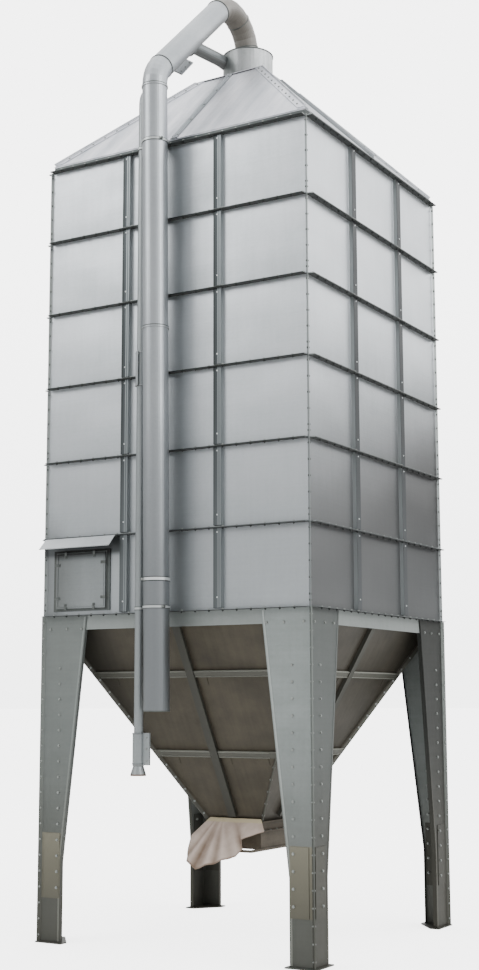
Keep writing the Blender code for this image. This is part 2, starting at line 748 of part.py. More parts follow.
def fill_inlet():
    """Coupling at the pipe's lower end with its bolted lug and flared mouth."""
    inner = FILL_RADIUS + GAP
    shoulder = FILL_END - GAP
    bore = FILL_RADIUS - FILL_WALL
    neck = shoulder - INLET_SHOULDER
    profile = [
        (inner, shoulder),
        (inner, INLET_HIGH),
        (SLEEVE_RADIUS, INLET_HIGH),
        (SLEEVE_RADIUS, neck),
        (FILL_RADIUS + INLET_THROAT, neck - INLET_SLOPE),
        (INLET_LIP, INLET_LOW + INLET_LIP_HEIGHT),
        (INLET_LIP, INLET_LOW),
        (INLET_LIP - INLET_LIP_SHEET, INLET_LOW),
        (bore, neck - INLET_SLOPE - INLET_BORE_STEP),
        (bore, shoulder),
    ]
    body = turned(profile, FILL_SIDES)
    half = LUG_THICKNESS / 2
    lug = block((SLEEVE_RADIUS - 2 * BITE, -half, neck), (LUG_REACH, half, INLET_HIGH))
    return moved(union(body, lug), Matrix.Translation((FILL_X, -FILL_STAND, 0)))


def pipe_clamp(seat, low):
    """Two straps from a height up, and their gussets to the flange at the seat's height."""
    high = low + CLAMP_HEIGHT
    middle = (low + high) / 2
    duct = (duct_x(middle), DUCT_STAND, DUCT_RADIUS, DUCT_SIDES)
    pipes = (duct, (FILL_X, FILL_STAND, FILL_RADIUS, FILL_SIDES))
    parts = []
    for x, stand, radius, sides in pipes:
        inner = radius + GAP
        outer = inner + CLAMP_SHEET
        hoop = turned([(inner, low), (inner, high), (outer, high), (outer, low)], sides)
        parts.append(moved(hoop, Matrix.Translation((x, -stand, 0))))
        parts.append(block((x - GUSSET / 2, -stand + outer - BITE, min(seat, low)),
                           (x + GUSSET / 2, -GUSSET_ROOT, max(seat, high))))
    tie = -FILL_STAND + FILL_RADIUS + CLAMP_SHEET
    parts.append(block((FILL_X, tie, middle - GUSSET), (duct_x(middle), tie + GUSSET, middle + GUSSET)))
    return union(*parts)


def hatch_frame():
    """Flat bar frame round the hatch opening."""
    low = (HATCH_CENTRE - HATCH_WIDTH / 2, LEG_TOP + HATCH_FOOT)
    high = (HATCH_CENTRE + HATCH_WIDTH / 2, LEG_TOP + HATCH_FOOT + HATCH_HEIGHT)
    body = block((low[0], -HALF - HATCH_DEPTH, low[1]), (high[0], -HALF - GAP, high[1]))
    hole = block((low[0] + HATCH_BAR, -HALF - 2 * HATCH_DEPTH, low[1] + HATCH_BAR),
                 (high[0] - HATCH_BAR, 0, high[1] - HATCH_BAR))
    return difference(body, hole)


def hatch_cover():
    """Bolted cover, a shallow pan on the frame."""
    low = LEG_TOP + HATCH_FOOT + COVER_LIFT
    back = -HALF - HATCH_DEPTH - GAP
    return block((HATCH_CENTRE - COVER_WIDTH / 2, back - COVER_DEPTH, low),
                 (HATCH_CENTRE + COVER_WIDTH / 2, back, low + COVER_HEIGHT))


def canopy():
    """Rain canopy over the hatch: a strip under the flange and a sloping sheet."""
    top = LEG_TOP + MODULE - HALF_GAP - FLANGE_SHEET - GAP
    edge = -HALF - FLANGE
    outline = [
        (edge + CANOPY_ROOT, top), (edge, top), (edge - CANOPY_RUN, top - CANOPY_DROP),
        (edge - CANOPY_RUN, top - CANOPY_DROP - CANOPY_SHEET * ROOT_TWO),
        (edge + CANOPY_SHEET * (ROOT_TWO - 1), top - CANOPY_SHEET), (edge + CANOPY_ROOT, top - CANOPY_SHEET),
    ]
    middle = (CANOPY_LEFT + CANOPY_RIGHT) / 2
    place = axes((middle, 0, 0), (0, 1, 0), (0, 0, 1))
    return plate(outline, CANOPY_RIGHT - CANOPY_LEFT, place)


def add_part(name, mesh, material, turn=0, lift=0.0):
    """Adds a sub-part on the silo's axis, turned by quarter turns and lifted."""
    item = bpy.data.objects.new(name, mesh)
    PARTS.objects.link(item)
    item.parent = AXIS
    item.location.z = lift
    item.rotation_euler.z = turn * QUARTER
    if not mesh.materials:
        mesh.materials.append(material)
    return item


def smooth(mesh, angle=40):
    """Shades a round piece smooth with its hard edges kept."""
    mesh.shade_smooth()
    mesh.set_sharp_from_angle(angle=math.radians(angle))
    return mesh


def build():
    """Makes every sub-part."""
    galvanised = new_material("galvanised_wall", (0.55, 0.57, 0.58), 0.42, 0.75)
    roofing = new_material("galvanised_roof", (0.62, 0.63, 0.65), 0.38, 0.75)
    frame_steel = new_material("galvanised_frame", (0.33, 0.35, 0.34), 0.55, 0.70)
    hopper_steel = new_material("galvanised_hopper", (0.27, 0.26, 0.22), 0.60, 0.65)
    duct_steel = new_material("galvanised_duct", (0.45, 0.47, 0.48), 0.40, 0.80)
    canvas = new_material("canvas", (0.60, 0.50, 0.43), 0.90, 0.0)

    panel = wall_panel()
    cut_panel = difference(panel.copy(), hatch_opening())
    slope = roof_side()
    beam = ring_beam()
    funnel = hopper_panel()
    stand = leg()
    for turn, side in enumerate(SIDES):
        for level in range(LEVELS):
            with_hatch = side == "front" and level == 0
            sheet = cut_panel if with_hatch else panel
            add_part(f"{side}_panel_{level + 1}", sheet, galvanised, turn, LEG_TOP + level * MODULE)
        add_part(f"roof_{side}", slope, roofing, turn)
        add_part(f"ring_beam_{side}", beam, frame_steel, turn)
        add_part(f"hopper_{side}", funnel, hopper_steel, turn)
    for name, signs in LEG_CORNERS.items():
        add_part(name, mirrored(stand, *signs), frame_steel)

    add_part("outlet_chute", outlet_chute(), hopper_steel)
    add_part("outlet_cloth", outlet_cloth(), canvas)
    add_part("roof_cap", roof_cap(), roofing)
    add_part("collar", smooth(collar()), roofing)
    add_part("duct_lower", smooth(duct_length(DUCT_END, DUCT_JOINT, (DUCT_STRAP,))), duct_steel)
    add_part("duct_upper", smooth(duct_length(DUCT_JOINT + GAP, DUCT_BEND_START)), duct_steel)
    add_part("duct_incline", smooth(duct_incline()), duct_steel)
    add_part("duct_bend", smooth(duct_bend()), duct_steel)
    add_part("fill_pipe", smooth(fill_pipe()), duct_steel)
    add_part("fill_spout", smooth(fill_spout()), duct_steel)
    add_part("fill_sleeve", smooth(fill_sleeve()), duct_steel)
    add_part("fill_inlet", smooth(fill_inlet()), duct_steel)
    low_seat = LEG_TOP + HALF_GAP + FLANGE_SHEET + GAP
    high_seat = WALL_TOP - HALF_GAP - FLANGE_SHEET - GAP
    add_part("pipe_clamp_low", pipe_clamp(low_seat, low_seat + CLAMP_SPACE), frame_steel)
    add_part("pipe_clamp_high", pipe_clamp(high_seat, high_seat - CLAMP_SPACE - CLAMP_HEIGHT), frame_steel)
    add_part("hatch_frame", hatch_frame(), galvanised)
    add_part("hatch_cover", hatch_cover(), galvanised)
    add_part("hatch_canopy", canopy(), roofing)


clear_scene()
PARTS = new_collection("modular_silo")
CUTTERS = new_collection("cutters")
AXIS = bpy.data.objects.new("silo_axis", None)
PARTS.objects.link(AXIS)
AXIS.location = (0, AXIS_Y, 0)
build()
bpy.context.view_layer.update()
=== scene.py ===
"""Dresses the modular silo: galvanised finishes, fasteners, beads, the hatch, the canvas and the studio.

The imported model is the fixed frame. Sizes repeat the model's own, in metres, in axes that stand on the
silo's own upright axis; settle() moves each finished piece from there into the frame.
"""

import json
import logging
import math
from dataclasses import dataclass, field
from enum import Enum
from typing import Callable, Iterable, Sequence

import bmesh
import bpy
from mathutils import Matrix, Vector

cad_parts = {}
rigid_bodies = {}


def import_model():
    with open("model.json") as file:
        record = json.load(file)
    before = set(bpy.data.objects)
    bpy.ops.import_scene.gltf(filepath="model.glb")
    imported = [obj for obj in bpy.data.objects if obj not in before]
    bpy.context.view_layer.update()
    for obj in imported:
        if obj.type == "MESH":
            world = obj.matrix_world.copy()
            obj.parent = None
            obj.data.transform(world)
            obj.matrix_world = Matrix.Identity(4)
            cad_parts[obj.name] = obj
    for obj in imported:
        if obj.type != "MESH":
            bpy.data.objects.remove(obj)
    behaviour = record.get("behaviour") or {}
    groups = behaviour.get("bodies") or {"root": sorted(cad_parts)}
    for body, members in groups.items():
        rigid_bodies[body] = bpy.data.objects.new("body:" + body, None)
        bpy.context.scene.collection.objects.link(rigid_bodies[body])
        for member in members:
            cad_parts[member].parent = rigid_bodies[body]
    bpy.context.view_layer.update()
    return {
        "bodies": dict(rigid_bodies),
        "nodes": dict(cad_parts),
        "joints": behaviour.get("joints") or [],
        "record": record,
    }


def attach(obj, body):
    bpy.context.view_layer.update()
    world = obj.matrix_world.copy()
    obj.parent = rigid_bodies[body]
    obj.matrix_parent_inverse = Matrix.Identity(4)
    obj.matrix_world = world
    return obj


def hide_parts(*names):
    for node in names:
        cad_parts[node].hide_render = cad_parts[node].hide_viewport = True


Socket = bpy.types.NodeSocket
Material = bpy.types.Material
Mesh = bpy.types.Mesh
Piece = bpy.types.Object
Layers = list[tuple[Socket, str]]
Pair = tuple[float, float]
Triple = tuple[float, float, float]
Line = tuple[Pair, ...]

LOG = logging.getLogger("modular_silo")
ROOT_TWO = math.sqrt(2)
ROOT_THREE = math.sqrt(3)


@dataclass(frozen=True)
class SiloPlan:
    """Sizes of the silo that the dressing follows."""

    half: float = 1.50
    module: float = 0.78
    levels: int = 6
    leg_top: float = 3.17
    axis_y: float = 0.154
    flange_face: float = 0.00515
    rib_place: float = 0.54
    rib_face: float = 1.540
    roof_upstand: float = 0.075
    pitch: float = 0.152
    sunk: float = 0.0005
    clamp_heights: Pair = (3.2035, 7.8165)

    @property
    def wall_top(self) -> float:
        """Height of the joint between the walls and the roof."""
        return self.leg_top + self.levels * self.module


PLAN = SiloPlan()


class Side(Enum):
    """The four faces, numbered by quarter turns from the front."""

    FRONT = 0
    RIGHT = 1
    BACK = 2
    LEFT = 3

    @property
    def turn(self) -> Matrix:
        """Turn about the silo's axis from the front to this face."""
        return Matrix.Rotation(self.value * math.pi / 2, 4, "Z")


class Slot(Enum):
    """Material slots of the record."""

    WALL = "wall_sheet"
    ROOF = "roof_sheet"
    FRAME = "frame_steel"
    HOPPER = "hopper_steel"
    DUCT = "duct_steel"
    CANVAS = "canvas"


def srgb(code: str) -> tuple[float, float, float, float]:
    """Turns an sRGB hex colour to linear.

    Args:
        code: Six hex digits, with or without the hash.

    Returns:
        Linear red, green and blue, and an alpha of 1.
    """
    digits = code.lstrip("#")
    values = [int(digits[i:i + 2], 16) / 255 for i in (0, 2, 4)]
    return (*(v / 12.92 if v <= 0.04045 else ((v + 0.055) / 1.055) ** 2.4 for v in values), 1.0)


class Graph:
    """A material's or the world's node tree, emptied and filled by code."""

    def __init__(self, owner: bpy.types.ID) -> None:
        """Empties the owner's tree.

        Args:
            owner: A material or a world.
        """
        owner.use_nodes = True
        self.tree = owner.node_tree
        self.tree.nodes.clear()

    def add(self, kind: str, inputs: dict | None = None, out: int | str = 0,
            **settings: str | bool) -> Socket | None:
        """Adds a node with its settings and links.

        Args:
            kind: The node's type, without its ShaderNode start.
            inputs: Socket name or number to a value, or to the output socket that feeds it.
            out: The output to give back.
            settings: Properties of the node.

        Returns:
            The output socket, if the node has one.
        """
        node = self.tree.nodes.new("ShaderNode" + kind)
        for name, value in settings.items():
            setattr(node, name, value)
        for key, value in (inputs or {}).items():
            if isinstance(value, Socket):
                self.tree.links.new(value, node.inputs[key])
            else:
                node.inputs[key].default_value = value
        return node.outputs[out] if node.outputs else None


@dataclass(frozen=True)
class Spot:
    """Where the shaded point lies on the silo, as sockets."""

    place: Socket
    x: Socket
    y: Socket
    z: Socket
    near: Socket
    far: Socket
    along: Socket
    share: Socket
    normal_z: Socket


@dataclass(frozen=True)
class Galvanised:
    """Hot dip galvanised steel: a grey zinc skin with rolling streaks, spangle and soft cloudy patches.

    The zinc is a dull metal, so it shows the sky above and the ground below, blurred. Its undersides
    are painted dark, as shade, and duller, and low down the zinc is tinted darker.
    """

    name: str
    light: str
    dark: str
    metallic: float = 0.85
    roughness: float = 0.40
    streak_mm: float = 9.0
    spangle_mm: float = 22.0
    cloud_mm: float = 650.0
    drip_mm: float = 60.0
    streak: float = 0.35
    cloud: float = 0.75
    drip: float = 0.35
    spangle: float = 0.10
    # Painted light: the share by which the tone grows towards the top of each wall module.
    rise: float = 0.0
    # Painted shade: the near-black colour laid on faces that point down.
    under: str = "#1F2221"
    under_share: float = 1.0
    under_from: float = -0.70
    under_to: float = -0.95
    low_tint: str = "#6E6B62"
    low_share: float = 0.75
    low_from: float = 0.0
    low_to: float = 0.0
    dust_roughness: float = 0.95
    gloss: float = 0.16
    ripple_mm: Triple = (900.0, 900.0, 500.0)
    ripple_height: float = 0.010
    grain_height: float = 0.0002

    def build(self) -> Material:
        """Makes the material.

        Returns:
            The material.
        """
        material = bpy.data.materials.new(self.name)
        graph = Graph(material)
        spot = self.spot(graph)
        tone = self.tone(graph, spot)
        colour = graph.add("Mix", {0: tone, 6: srgb(self.dark), 7: srgb(self.light)}, 2, data_type="RGBA")
        for share, tint in self.tints(graph, spot):
            colour = graph.add("Mix", {0: share, 6: colour, 7: srgb(tint)}, 2, data_type="RGBA")
        dust = self.dust(graph, spot)
        metal = graph.add("Math", {0: dust, 1: -self.metallic, 2: self.metallic}, operation="MULTIPLY_ADD")
        inputs = {0: tone, 1: -self.gloss, 2: self.roughness + self.gloss / 2}
        rough = graph.add("Math", inputs, operation="MULTIPLY_ADD")
        rough = graph.add("Mix", {0: dust, 2: rough, 3: self.dust_roughness}, data_type="FLOAT")
        relief = self.relief(graph, spot, tone)
        bump = graph.add("Bump", {"Height": relief, "Distance": 1.0, "Strength": 1.0})
        shader = graph.add("BsdfPrincipled", {
            "Base Color": colour, "Roughness": rough, "Metallic": metal, "Normal": bump,
        })
        graph.add("OutputMaterial", {"Surface": shader})
        return material

    def spot(self, graph: Graph) -> Spot:
        """Works out where a point lies on the silo, about its own axis.

        Args:
            graph: The graph.

        Returns:
            The place, as sockets.
        """
        place = graph.add("TexCoord", out="Object")
        centred = graph.add("Mapping", {"Vector": place, "Location": (0, -PLAN.axis_y, 0)})
        x, y, z = (graph.add("SeparateXYZ", {0: centred}, axis) for axis in "XYZ")
        wide = graph.add("Math", {0: x}, operation="ABSOLUTE")
        deep = graph.add("Math", {0: y}, operation="ABSOLUTE")
        near = graph.add("Math", {0: wide, 1: deep}, operation="MINIMUM")
        far = graph.add("Math", {0: wide, 1: deep}, operation="MAXIMUM")
        across = graph.add("Math", {0: deep, 1: wide}, operation="GREATER_THAN")
        along = graph.add("Mix", {0: across, 2: y, 3: x}, data_type="FLOAT")
        inputs = {0: z, 1: 1 / PLAN.module, 2: -PLAN.leg_top / PLAN.module}
        level = graph.add("Math", inputs, operation="MULTIPLY_ADD")
        share = graph.add("Math", {0: level}, operation="FRACT")
        normal = graph.add("NewGeometry", out="Normal")
        normal_z = graph.add("SeparateXYZ", {0: normal}, "Z")
        return Spot(centred, x, y, z, near, far, along, share, normal_z)

    def noise(self, graph: Graph, spot: Spot, size_mm: Triple, detail: float = 2.0) -> Socket:
        """A noise with its grain's real size along each axis.

        Args:
            graph: The graph.
            spot: The shaded point.
            size_mm: Grain size along X, Y and Z.
            detail: Noise detail.

        Returns:
            The noise's value.
        """
        scaled = graph.add("Mapping", {"Vector": spot.place, "Scale": [1000.0 / size for size in size_mm]})
        return graph.add("TexNoise", {"Vector": scaled, "Scale": 1.0, "Detail": detail, "Roughness": 0.55})

    def tone(self, graph: Graph, spot: Spot) -> Socket:
        """The zinc's tone from 0, dark, to 1, light: streaks, spangle, clouds and drips together, and a painted
        light that grows towards the top of each module.

        Args:
            graph: The graph.
            spot: The shaded point.

        Returns:
            The tone.
        """
        run = graph.add("Math", {0: spot.along, 1: 1000.0 / self.drip_mm}, operation="MULTIPLY")
        fall = graph.add("CombineXYZ", {"X": run, "Y": spot.z, "Z": 0.0})
        drip = graph.add("TexNoise", {"Vector": fall, "Scale": 1.0, "Detail": 3.0, "Roughness": 0.6})
        grain = graph.add("TexVoronoi", {"Vector": spot.place, "Scale": 1000.0 / self.spangle_mm}, "Color")
        parts = (
            (self.noise(graph, spot, (900.0, 900.0, self.streak_mm), 3.0), self.streak),
            (self.noise(graph, spot, (self.cloud_mm, self.cloud_mm, self.cloud_mm * 0.6)), self.cloud),
            (drip, self.drip),
            (graph.add("SeparateColor", {0: grain}), self.spangle),
            # Painted light: the tone grows towards the top of each module.
            (spot.share, self.rise),
        )
        tone = 0.5 - 0.5 * sum(weight for _, weight in parts)
        for value, weight in parts:
            tone = graph.add("Math", {0: value, 1: weight, 2: tone}, operation="MULTIPLY_ADD")
        return graph.add("Clamp", {"Value": tone})

    def step(self, graph: Graph, value: Socket, *bounds: Pair,
             scale: float | Socket = 1.0, gain: float = 1.0) -> Socket:
        """A share that is on only inside every bound.

        Args:
            graph: The graph.
            value: The tested value.
            bounds: Where each edge is off and where it is on.
            scale: The share where it is fully on.
            gain: What that share is multiplied by.

        Returns:
            The share.
        """
        share = scale if gain == 1.0 else graph.add("Math", {0: scale, 1: gain}, operation="MULTIPLY")
        for off, on in bounds:
            inputs = {"Value": value, "From Min": off, "From Max": on}
            edge = graph.add("MapRange", inputs, interpolation_type="SMOOTHSTEP")
            share = graph.add("Math", {0: edge, 1: share}, operation="MULTIPLY")
        return share

    def right_slope(self, graph: Graph, spot: Spot, scale: float) -> Socket:
        """A share that is on only on the right one of four slopes.

        Args:
            graph: The graph.
            spot: The shaded point.
            scale: The share where it is fully on.

        Returns:
            The share.
        """
        lead = graph.add("Math", {0: spot.x, 1: spot.near}, operation="SUBTRACT")
        return self.step(graph, lead, (0.0, 0.004), scale=scale)

    def tints(self, graph: Graph, spot: Spot) -> Layers:
        """Shares of the colours laid over the zinc, in order.

        Args:
            graph: The graph.
            spot: The shaded point.

        Returns:
            Shares and their colours.
        """
        layers = []
        if self.low_to > self.low_from:
            low = self.step(graph, spot.z, (self.low_to, self.low_from), scale=self.low_share)
            layers.append((low, self.low_tint))
        # Painted shade: faces that point down take the under colour.
        below = self.step(graph, spot.normal_z, (self.under_from, self.under_to), scale=self.under_share)
        return layers + [(below, self.under)]

    def dust(self, graph: Graph, spot: Spot) -> Socket:
        """How far dust hides the metal's shine: on the undersides."""
        return self.step(graph, spot.normal_z, (self.under_from, self.under_to), scale=self.under_share)

    def relief(self, graph: Graph, spot: Spot, tone: Socket) -> Socket:
        """Relief in metres: a slow ripple of the sheet and a trace of the streaks.

        Args:
            graph: The graph.
            spot: The shaded point.
            tone: The zinc's tone.

        Returns:
            The height.
        """
        ripple = self.noise(graph, spot, self.ripple_mm, 0.0)
        slow = graph.add("Math", {0: ripple, 1: self.ripple_height}, operation="MULTIPLY")
        return graph.add("Math", {0: tone, 1: self.grain_height, 2: slow}, operation="MULTIPLY_ADD")


@dataclass(frozen=True)
class WallSheet(Galvanised):
    """Galvanised wall sheet, bulged a little between its stiffeners, with dull stiffeners and painted shade at
    the flanges.

    The stiffeners carry painted shade and painted highlights, and the corner flanges painted shade. The right
    side has a painted dark reflection low down, most at the back, and a painted pale reflection high up.
    Painted shadow lies beside the duct and under the hatch's canopy; the front is darker at its lower left.
    """

    sheet_face: Pair = (1.5008, 1.5025)
    side_face: Pair = (1.4960, 1.4985)
    rib_rise: tuple[Pair, Pair] = ((0.008, 0.012), (0.993, 0.990))
    rib_half: Pair = (0.0560, 0.0535)
    fold_half: Pair = (0.0435, 0.0450)
    dark_band: tuple[Pair, Pair] = ((-0.0460, -0.0440), (-0.0150, -0.0220))
    light_band: tuple[Pair, Pair] = ((0.0020, 0.0060), (0.0460, 0.0440))
    head_rise: Pair = (0.9905, 0.9930)
    foot_rise: Pair = (0.0085, 0.0068)
    lip_rise: tuple[Pair, Pair] = ((0.0040, 0.0050), (0.0085, 0.0070))
    fin_run: Pair = (1.497, 1.500)
    rib: str = "#3F4345"
    # Painted shade on each stiffener's left edge, painted light on its right half and painted highlight lines
    # along it.
    rib_dark: str = "#333737"
    rib_light: str = "#565C5E"
    # Painted light on the stiffeners' folded sides.
    rib_side: str = "#8E9394"
    # Painted shade on the right wall's stiffeners.
    rib_shade: str = "#2B2E30"
    crest: str = "#8C9293"
    crest_lines: Pair = (0.004, 0.028)
    # Painted shade at the flanges: a mid-grey line on the lip and a dark band at each joint.
    lip: str = "#8E9391"
    edge: str = "#232625"
    # Painted shade on the corner flanges.
    fin: str = "#8A8F8E"
    # Painted dark reflection on the right wall: darker low down along a slanted edge, deepest at the back.
    dark_reflection: str = "#45413E"
    dark_reflection_fall: Pair = (6.00, 3.90)
    dark_reflection_slant: float = 0.25
    deep_dark_reflection: str = "#1E1C1A"
    deep_run: Pair = (-0.60, 1.30)
    deep_fall: Pair = (5.40, 4.10)
    # Painted reflection: the right wall is paler high up.
    pale_reflection: str = "#E4E8EC"
    pale_reflection_rise: Pair = (5.50, 6.40)
    # Painted shadow of the duct on the front wall.
    duct_shadow: str = "#7C8285"
    duct_x: float = -0.03
    duct_reach: Pair = (0.30, 0.05)
    # Painted shadow on the front wall under the hatch's canopy.
    canopy_shadow: str = "#1D1E1D"
    canopy_shadow_run: Pair = (-0.57, -0.60)
    canopy_shadow_rise: tuple[Pair, Pair] = ((3.735, 3.80), (3.95, 3.94))
    # Darker at the front's lower left.
    left_darkening: str = "#565854"
    left_darkening_run: Pair = (-1.20, -1.45)
    left_darkening_fall: Pair = (4.30, 3.75)
    bulge: float = 0.006
    bulge_half: float = 0.54
    ripple_mm: Triple = (700.0, 700.0, 420.0)
    ripple_height: float = 0.008
    grain_height: float = 0.00015

    def tints(self, graph: Graph, spot: Spot) -> Layers:
        """Adds the stiffeners with their painted shade and highlights, the painted shade on the flanges and the
        corner flanges, the right wall's painted reflections, the painted shadow of the duct and of the canopy,
        and the darker lower left.

        Args:
            graph: The graph.
            spot: The shaded point.

        Returns:
            Shares and their colours, in order.
        """
        proud = self.step(graph, spot.far, self.sheet_face)
        hand = graph.add("Math", {0: spot.along}, operation="SIGN")
        offset = graph.add("Math", {0: hand, 1: -PLAN.rib_place, 2: spot.along}, operation="MULTIPLY_ADD")
        aside = graph.add("Math", {0: offset}, operation="ABSOLUTE")
        between = self.step(graph, spot.share, *self.rib_rise, scale=proud)
        on_rib = self.step(graph, aside, self.rib_half, scale=between)
        # Painted light: the stiffeners' folded sides are lightened.
        folded = self.step(graph, aside, self.fold_half, scale=on_rib)
        # Painted shade on the stiffener's left edge, painted light on its right half, painted highlight lines on
        # its crest.
        dark = self.step(graph, offset, *self.dark_band, scale=on_rib)
        light = self.step(graph, offset, *self.light_band, scale=on_rib)
        crests = [self.step(graph, offset, (low, low + 0.002), (low + 0.009, low + 0.007), scale=on_rib)
                  for low in self.crest_lines]
        right = self.step(graph, spot.x, self.side_face)
        right_rib = graph.add("Math", {0: on_rib, 1: right}, operation="MULTIPLY")
        # Painted shade: the stiffener faces on the right wall are darkened.
        shaded_rib = self.step(graph, aside, self.fold_half[::-1], scale=right_rib)
        # Painted shade: dark bands on the flanges at each joint, and a mid-grey line on the lip.
        head = self.step(graph, spot.share, self.head_rise, scale=proud)
        foot = self.step(graph, spot.share, self.foot_rise, scale=proud)
        lip = self.step(graph, spot.share, *self.lip_rise, scale=proud)
        # Painted shade: the corner flanges are darkened.
        corner = self.step(graph, spot.near, self.fin_run, scale=proud)
        # Painted dark reflection on the right wall, reaching higher and deeper towards the back.
        slanted = graph.add("Math", {0: spot.y, 1: -self.dark_reflection_slant, 2: spot.z}, operation="MULTIPLY_ADD")
        dark_reflected = self.step(graph, slanted, self.dark_reflection_fall, scale=right, gain=0.9)
        rear = self.step(graph, spot.y, self.deep_run, scale=right, gain=0.45)
        deep = self.step(graph, slanted, self.deep_fall, scale=rear)
        # Painted reflection: the right wall is paler high up.
        pale_reflection = self.step(graph, spot.z, self.pale_reflection_rise, scale=right, gain=0.45)
        front = self.step(graph, spot.y, (-self.side_face[0], -self.side_face[1]))
        # Painted shadow under the hatch's canopy.
        under = self.step(graph, spot.x, self.canopy_shadow_run, scale=front, gain=0.95)
        under = self.step(graph, spot.z, *self.canopy_shadow_rise, scale=under)
        # Darker at the front's lower left.
        left = self.step(graph, spot.x, self.left_darkening_run, scale=front, gain=0.62)
        left = self.step(graph, spot.z, self.left_darkening_fall, scale=left)
        # Painted shadow of the duct on the front wall, behind and beside it.
        shift = graph.add("Math", {0: spot.x, 1: self.duct_x}, operation="SUBTRACT")
        shift = graph.add("Math", {0: shift}, operation="ABSOLUTE")
        behind = self.step(graph, shift, self.duct_reach, scale=front, gain=0.42)
        return [(pale_reflection, self.pale_reflection), (dark_reflected, self.dark_reflection), (deep, self.deep_dark_reflection), (left, self.left_darkening),
                (behind, self.duct_shadow), (on_rib, self.rib), (dark, self.rib_dark), (light, self.rib_light),
                *((share, self.crest) for share in crests), (folded, self.rib_side),
                (shaded_rib, self.rib_shade), (head, self.edge), (foot, self.edge), (lip, self.lip),
                (corner, self.fin), (under, self.canopy_shadow), *super().tints(graph, spot)]

    def relief(self, graph: Graph, spot: Spot, tone: Socket) -> Socket:
        """Relief in metres: each field of the sheet bulges between flanges and stiffeners.

        Args:
            graph: The graph.
            spot: The shaded point.
            tone: The zinc's tone.

        Returns:
            The height.
        """
        inputs = {0: spot.near, 1: math.pi / 2 / self.bulge_half, 2: math.pi / 2}
        turn = graph.add("Math", inputs, operation="MULTIPLY_ADD")
        wave = graph.add("Math", {0: turn}, operation="SINE")
        wide = graph.add("Math", {0: wave}, operation="ABSOLUTE")
        half_turn = graph.add("Math", {0: spot.share, 1: math.pi}, operation="MULTIPLY")
        tall = graph.add("Math", {0: half_turn}, operation="SINE")
        field_share = graph.add("Math", {0: wide, 1: tall}, operation="MULTIPLY")
        ripple = self.noise(graph, spot, self.ripple_mm, 0.0)
        slow = graph.add("Math", {0: ripple, 1: self.ripple_height}, operation="MULTIPLY")
        swell = graph.add("Math", {0: field_share, 1: self.bulge, 2: slow}, operation="MULTIPLY_ADD")
        swell = self.step(graph, spot.far, self.sheet_face[::-1], scale=swell)
        return graph.add("Math", {0: tone, 1: self.grain_height, 2: swell}, operation="MULTIPLY_ADD")


@dataclass(frozen=True)
class RoofSheet(Galvanised):
    """Galvanised roof sheet with drip stripes, painted shade at the eaves, dull seams with painted shade on
    their edges, and a duller right slope with painted shade.
    """

    # Painted shade at the joint between the walls and the roof.
    eave_shade: str = "#3B403E"
    seam: str = "#A6ABAE"
    # Painted shade along the seam strips' edges.
    seam_edge_shade: str = "#707578"
    seam_half: Pair = (0.0440, 0.0420)
    rim_half: Pair = (0.0300, 0.0340)
    shade_share: float = 0.36
    shade: str = "#737977"

    def tints(self, graph: Graph, spot: Spot) -> Layers:
        """Adds the right slope, the middle seams and the joint at the eaves.

        Args:
            graph: The graph.
            spot: The shaded point.

        Returns:
            Shares and their colours, in order.
        """
        low, high = PLAN.wall_top, PLAN.wall_top + PLAN.roof_upstand
        over = self.step(graph, spot.z, (high - 0.01, high))
        # Painted shade: a dark band at the eaves' joint.
        joint = self.step(graph, spot.z, (low - 0.02, low - 0.01), (high - 0.012, high - 0.018), scale=0.95)
        strip = self.step(graph, spot.near, self.seam_half, scale=over, gain=0.8)
        # Painted shade along the seam strips' edges.
        rim = self.step(graph, spot.near, self.seam_half, self.rim_half, scale=over, gain=0.6)
        return [(self.right_slope(graph, spot, self.shade_share), self.shade), (strip, self.seam),
                (rim, self.seam_edge_shade), (joint, self.eave_shade), *super().tints(graph, spot)]

    def dust(self, graph: Graph, spot: Spot) -> Socket:
        """Adds the dull right slope to the dusty undersides.

        Args:
            graph: The graph.
            spot: The shaded point.

        Returns:
            The share.
        """
        right = self.right_slope(graph, spot, self.shade_share)
        return graph.add("Math", {0: right, 1: super().dust(graph, spot)}, operation="MAXIMUM")


@dataclass(frozen=True)
class HatchSteel(Galvanised):
    """Dull galvanised hatch plate, with painted shadow under the canopy, and darker on its left."""

    # Painted shadow on the hatch under its canopy.
    canopy_shadow: str = "#1D1E1D"
    canopy_shadow_rise: Pair = (3.700, 3.800)
    left_darkening: str = "#4E504D"
    left_darkening_run: Pair = (-0.95, -1.40)

    def tints(self, graph: Graph, spot: Spot) -> Layers:
        """Adds the darker left and the painted shadow under the canopy.

        Args:
            graph: The graph.
            spot: The shaded point.

        Returns:
            Shares and their colours, in order.
        """
        # Darker towards the left.
        left = self.step(graph, spot.x, self.left_darkening_run, scale=0.55)
        # Painted shadow under the canopy.
        under = self.step(graph, spot.z, self.canopy_shadow_rise, scale=0.92)
        return [(left, self.left_darkening), (under, self.canopy_shadow), *super().tints(graph, spot)]


@dataclass(frozen=True)
class CollarSheet(Galvanised):
    """Rolled collar sheet, dull and darker on its left, where the fill pipe enters."""

    # Darker on the collar's left.
    left_tone: str = "#6A6F6D"
    left_tone_run: Pair = (0.08, -0.03)

    def tints(self, graph: Graph, spot: Spot) -> Layers:
        """Adds the darker left.

        Args:
            graph: The graph.
            spot: The shaded point.

        Returns:
            Shares and their colours, in order.
        """
        left = self.step(graph, spot.x, self.left_tone_run, scale=0.72)
        return [(left, self.left_tone), *super().tints(graph, spot)]


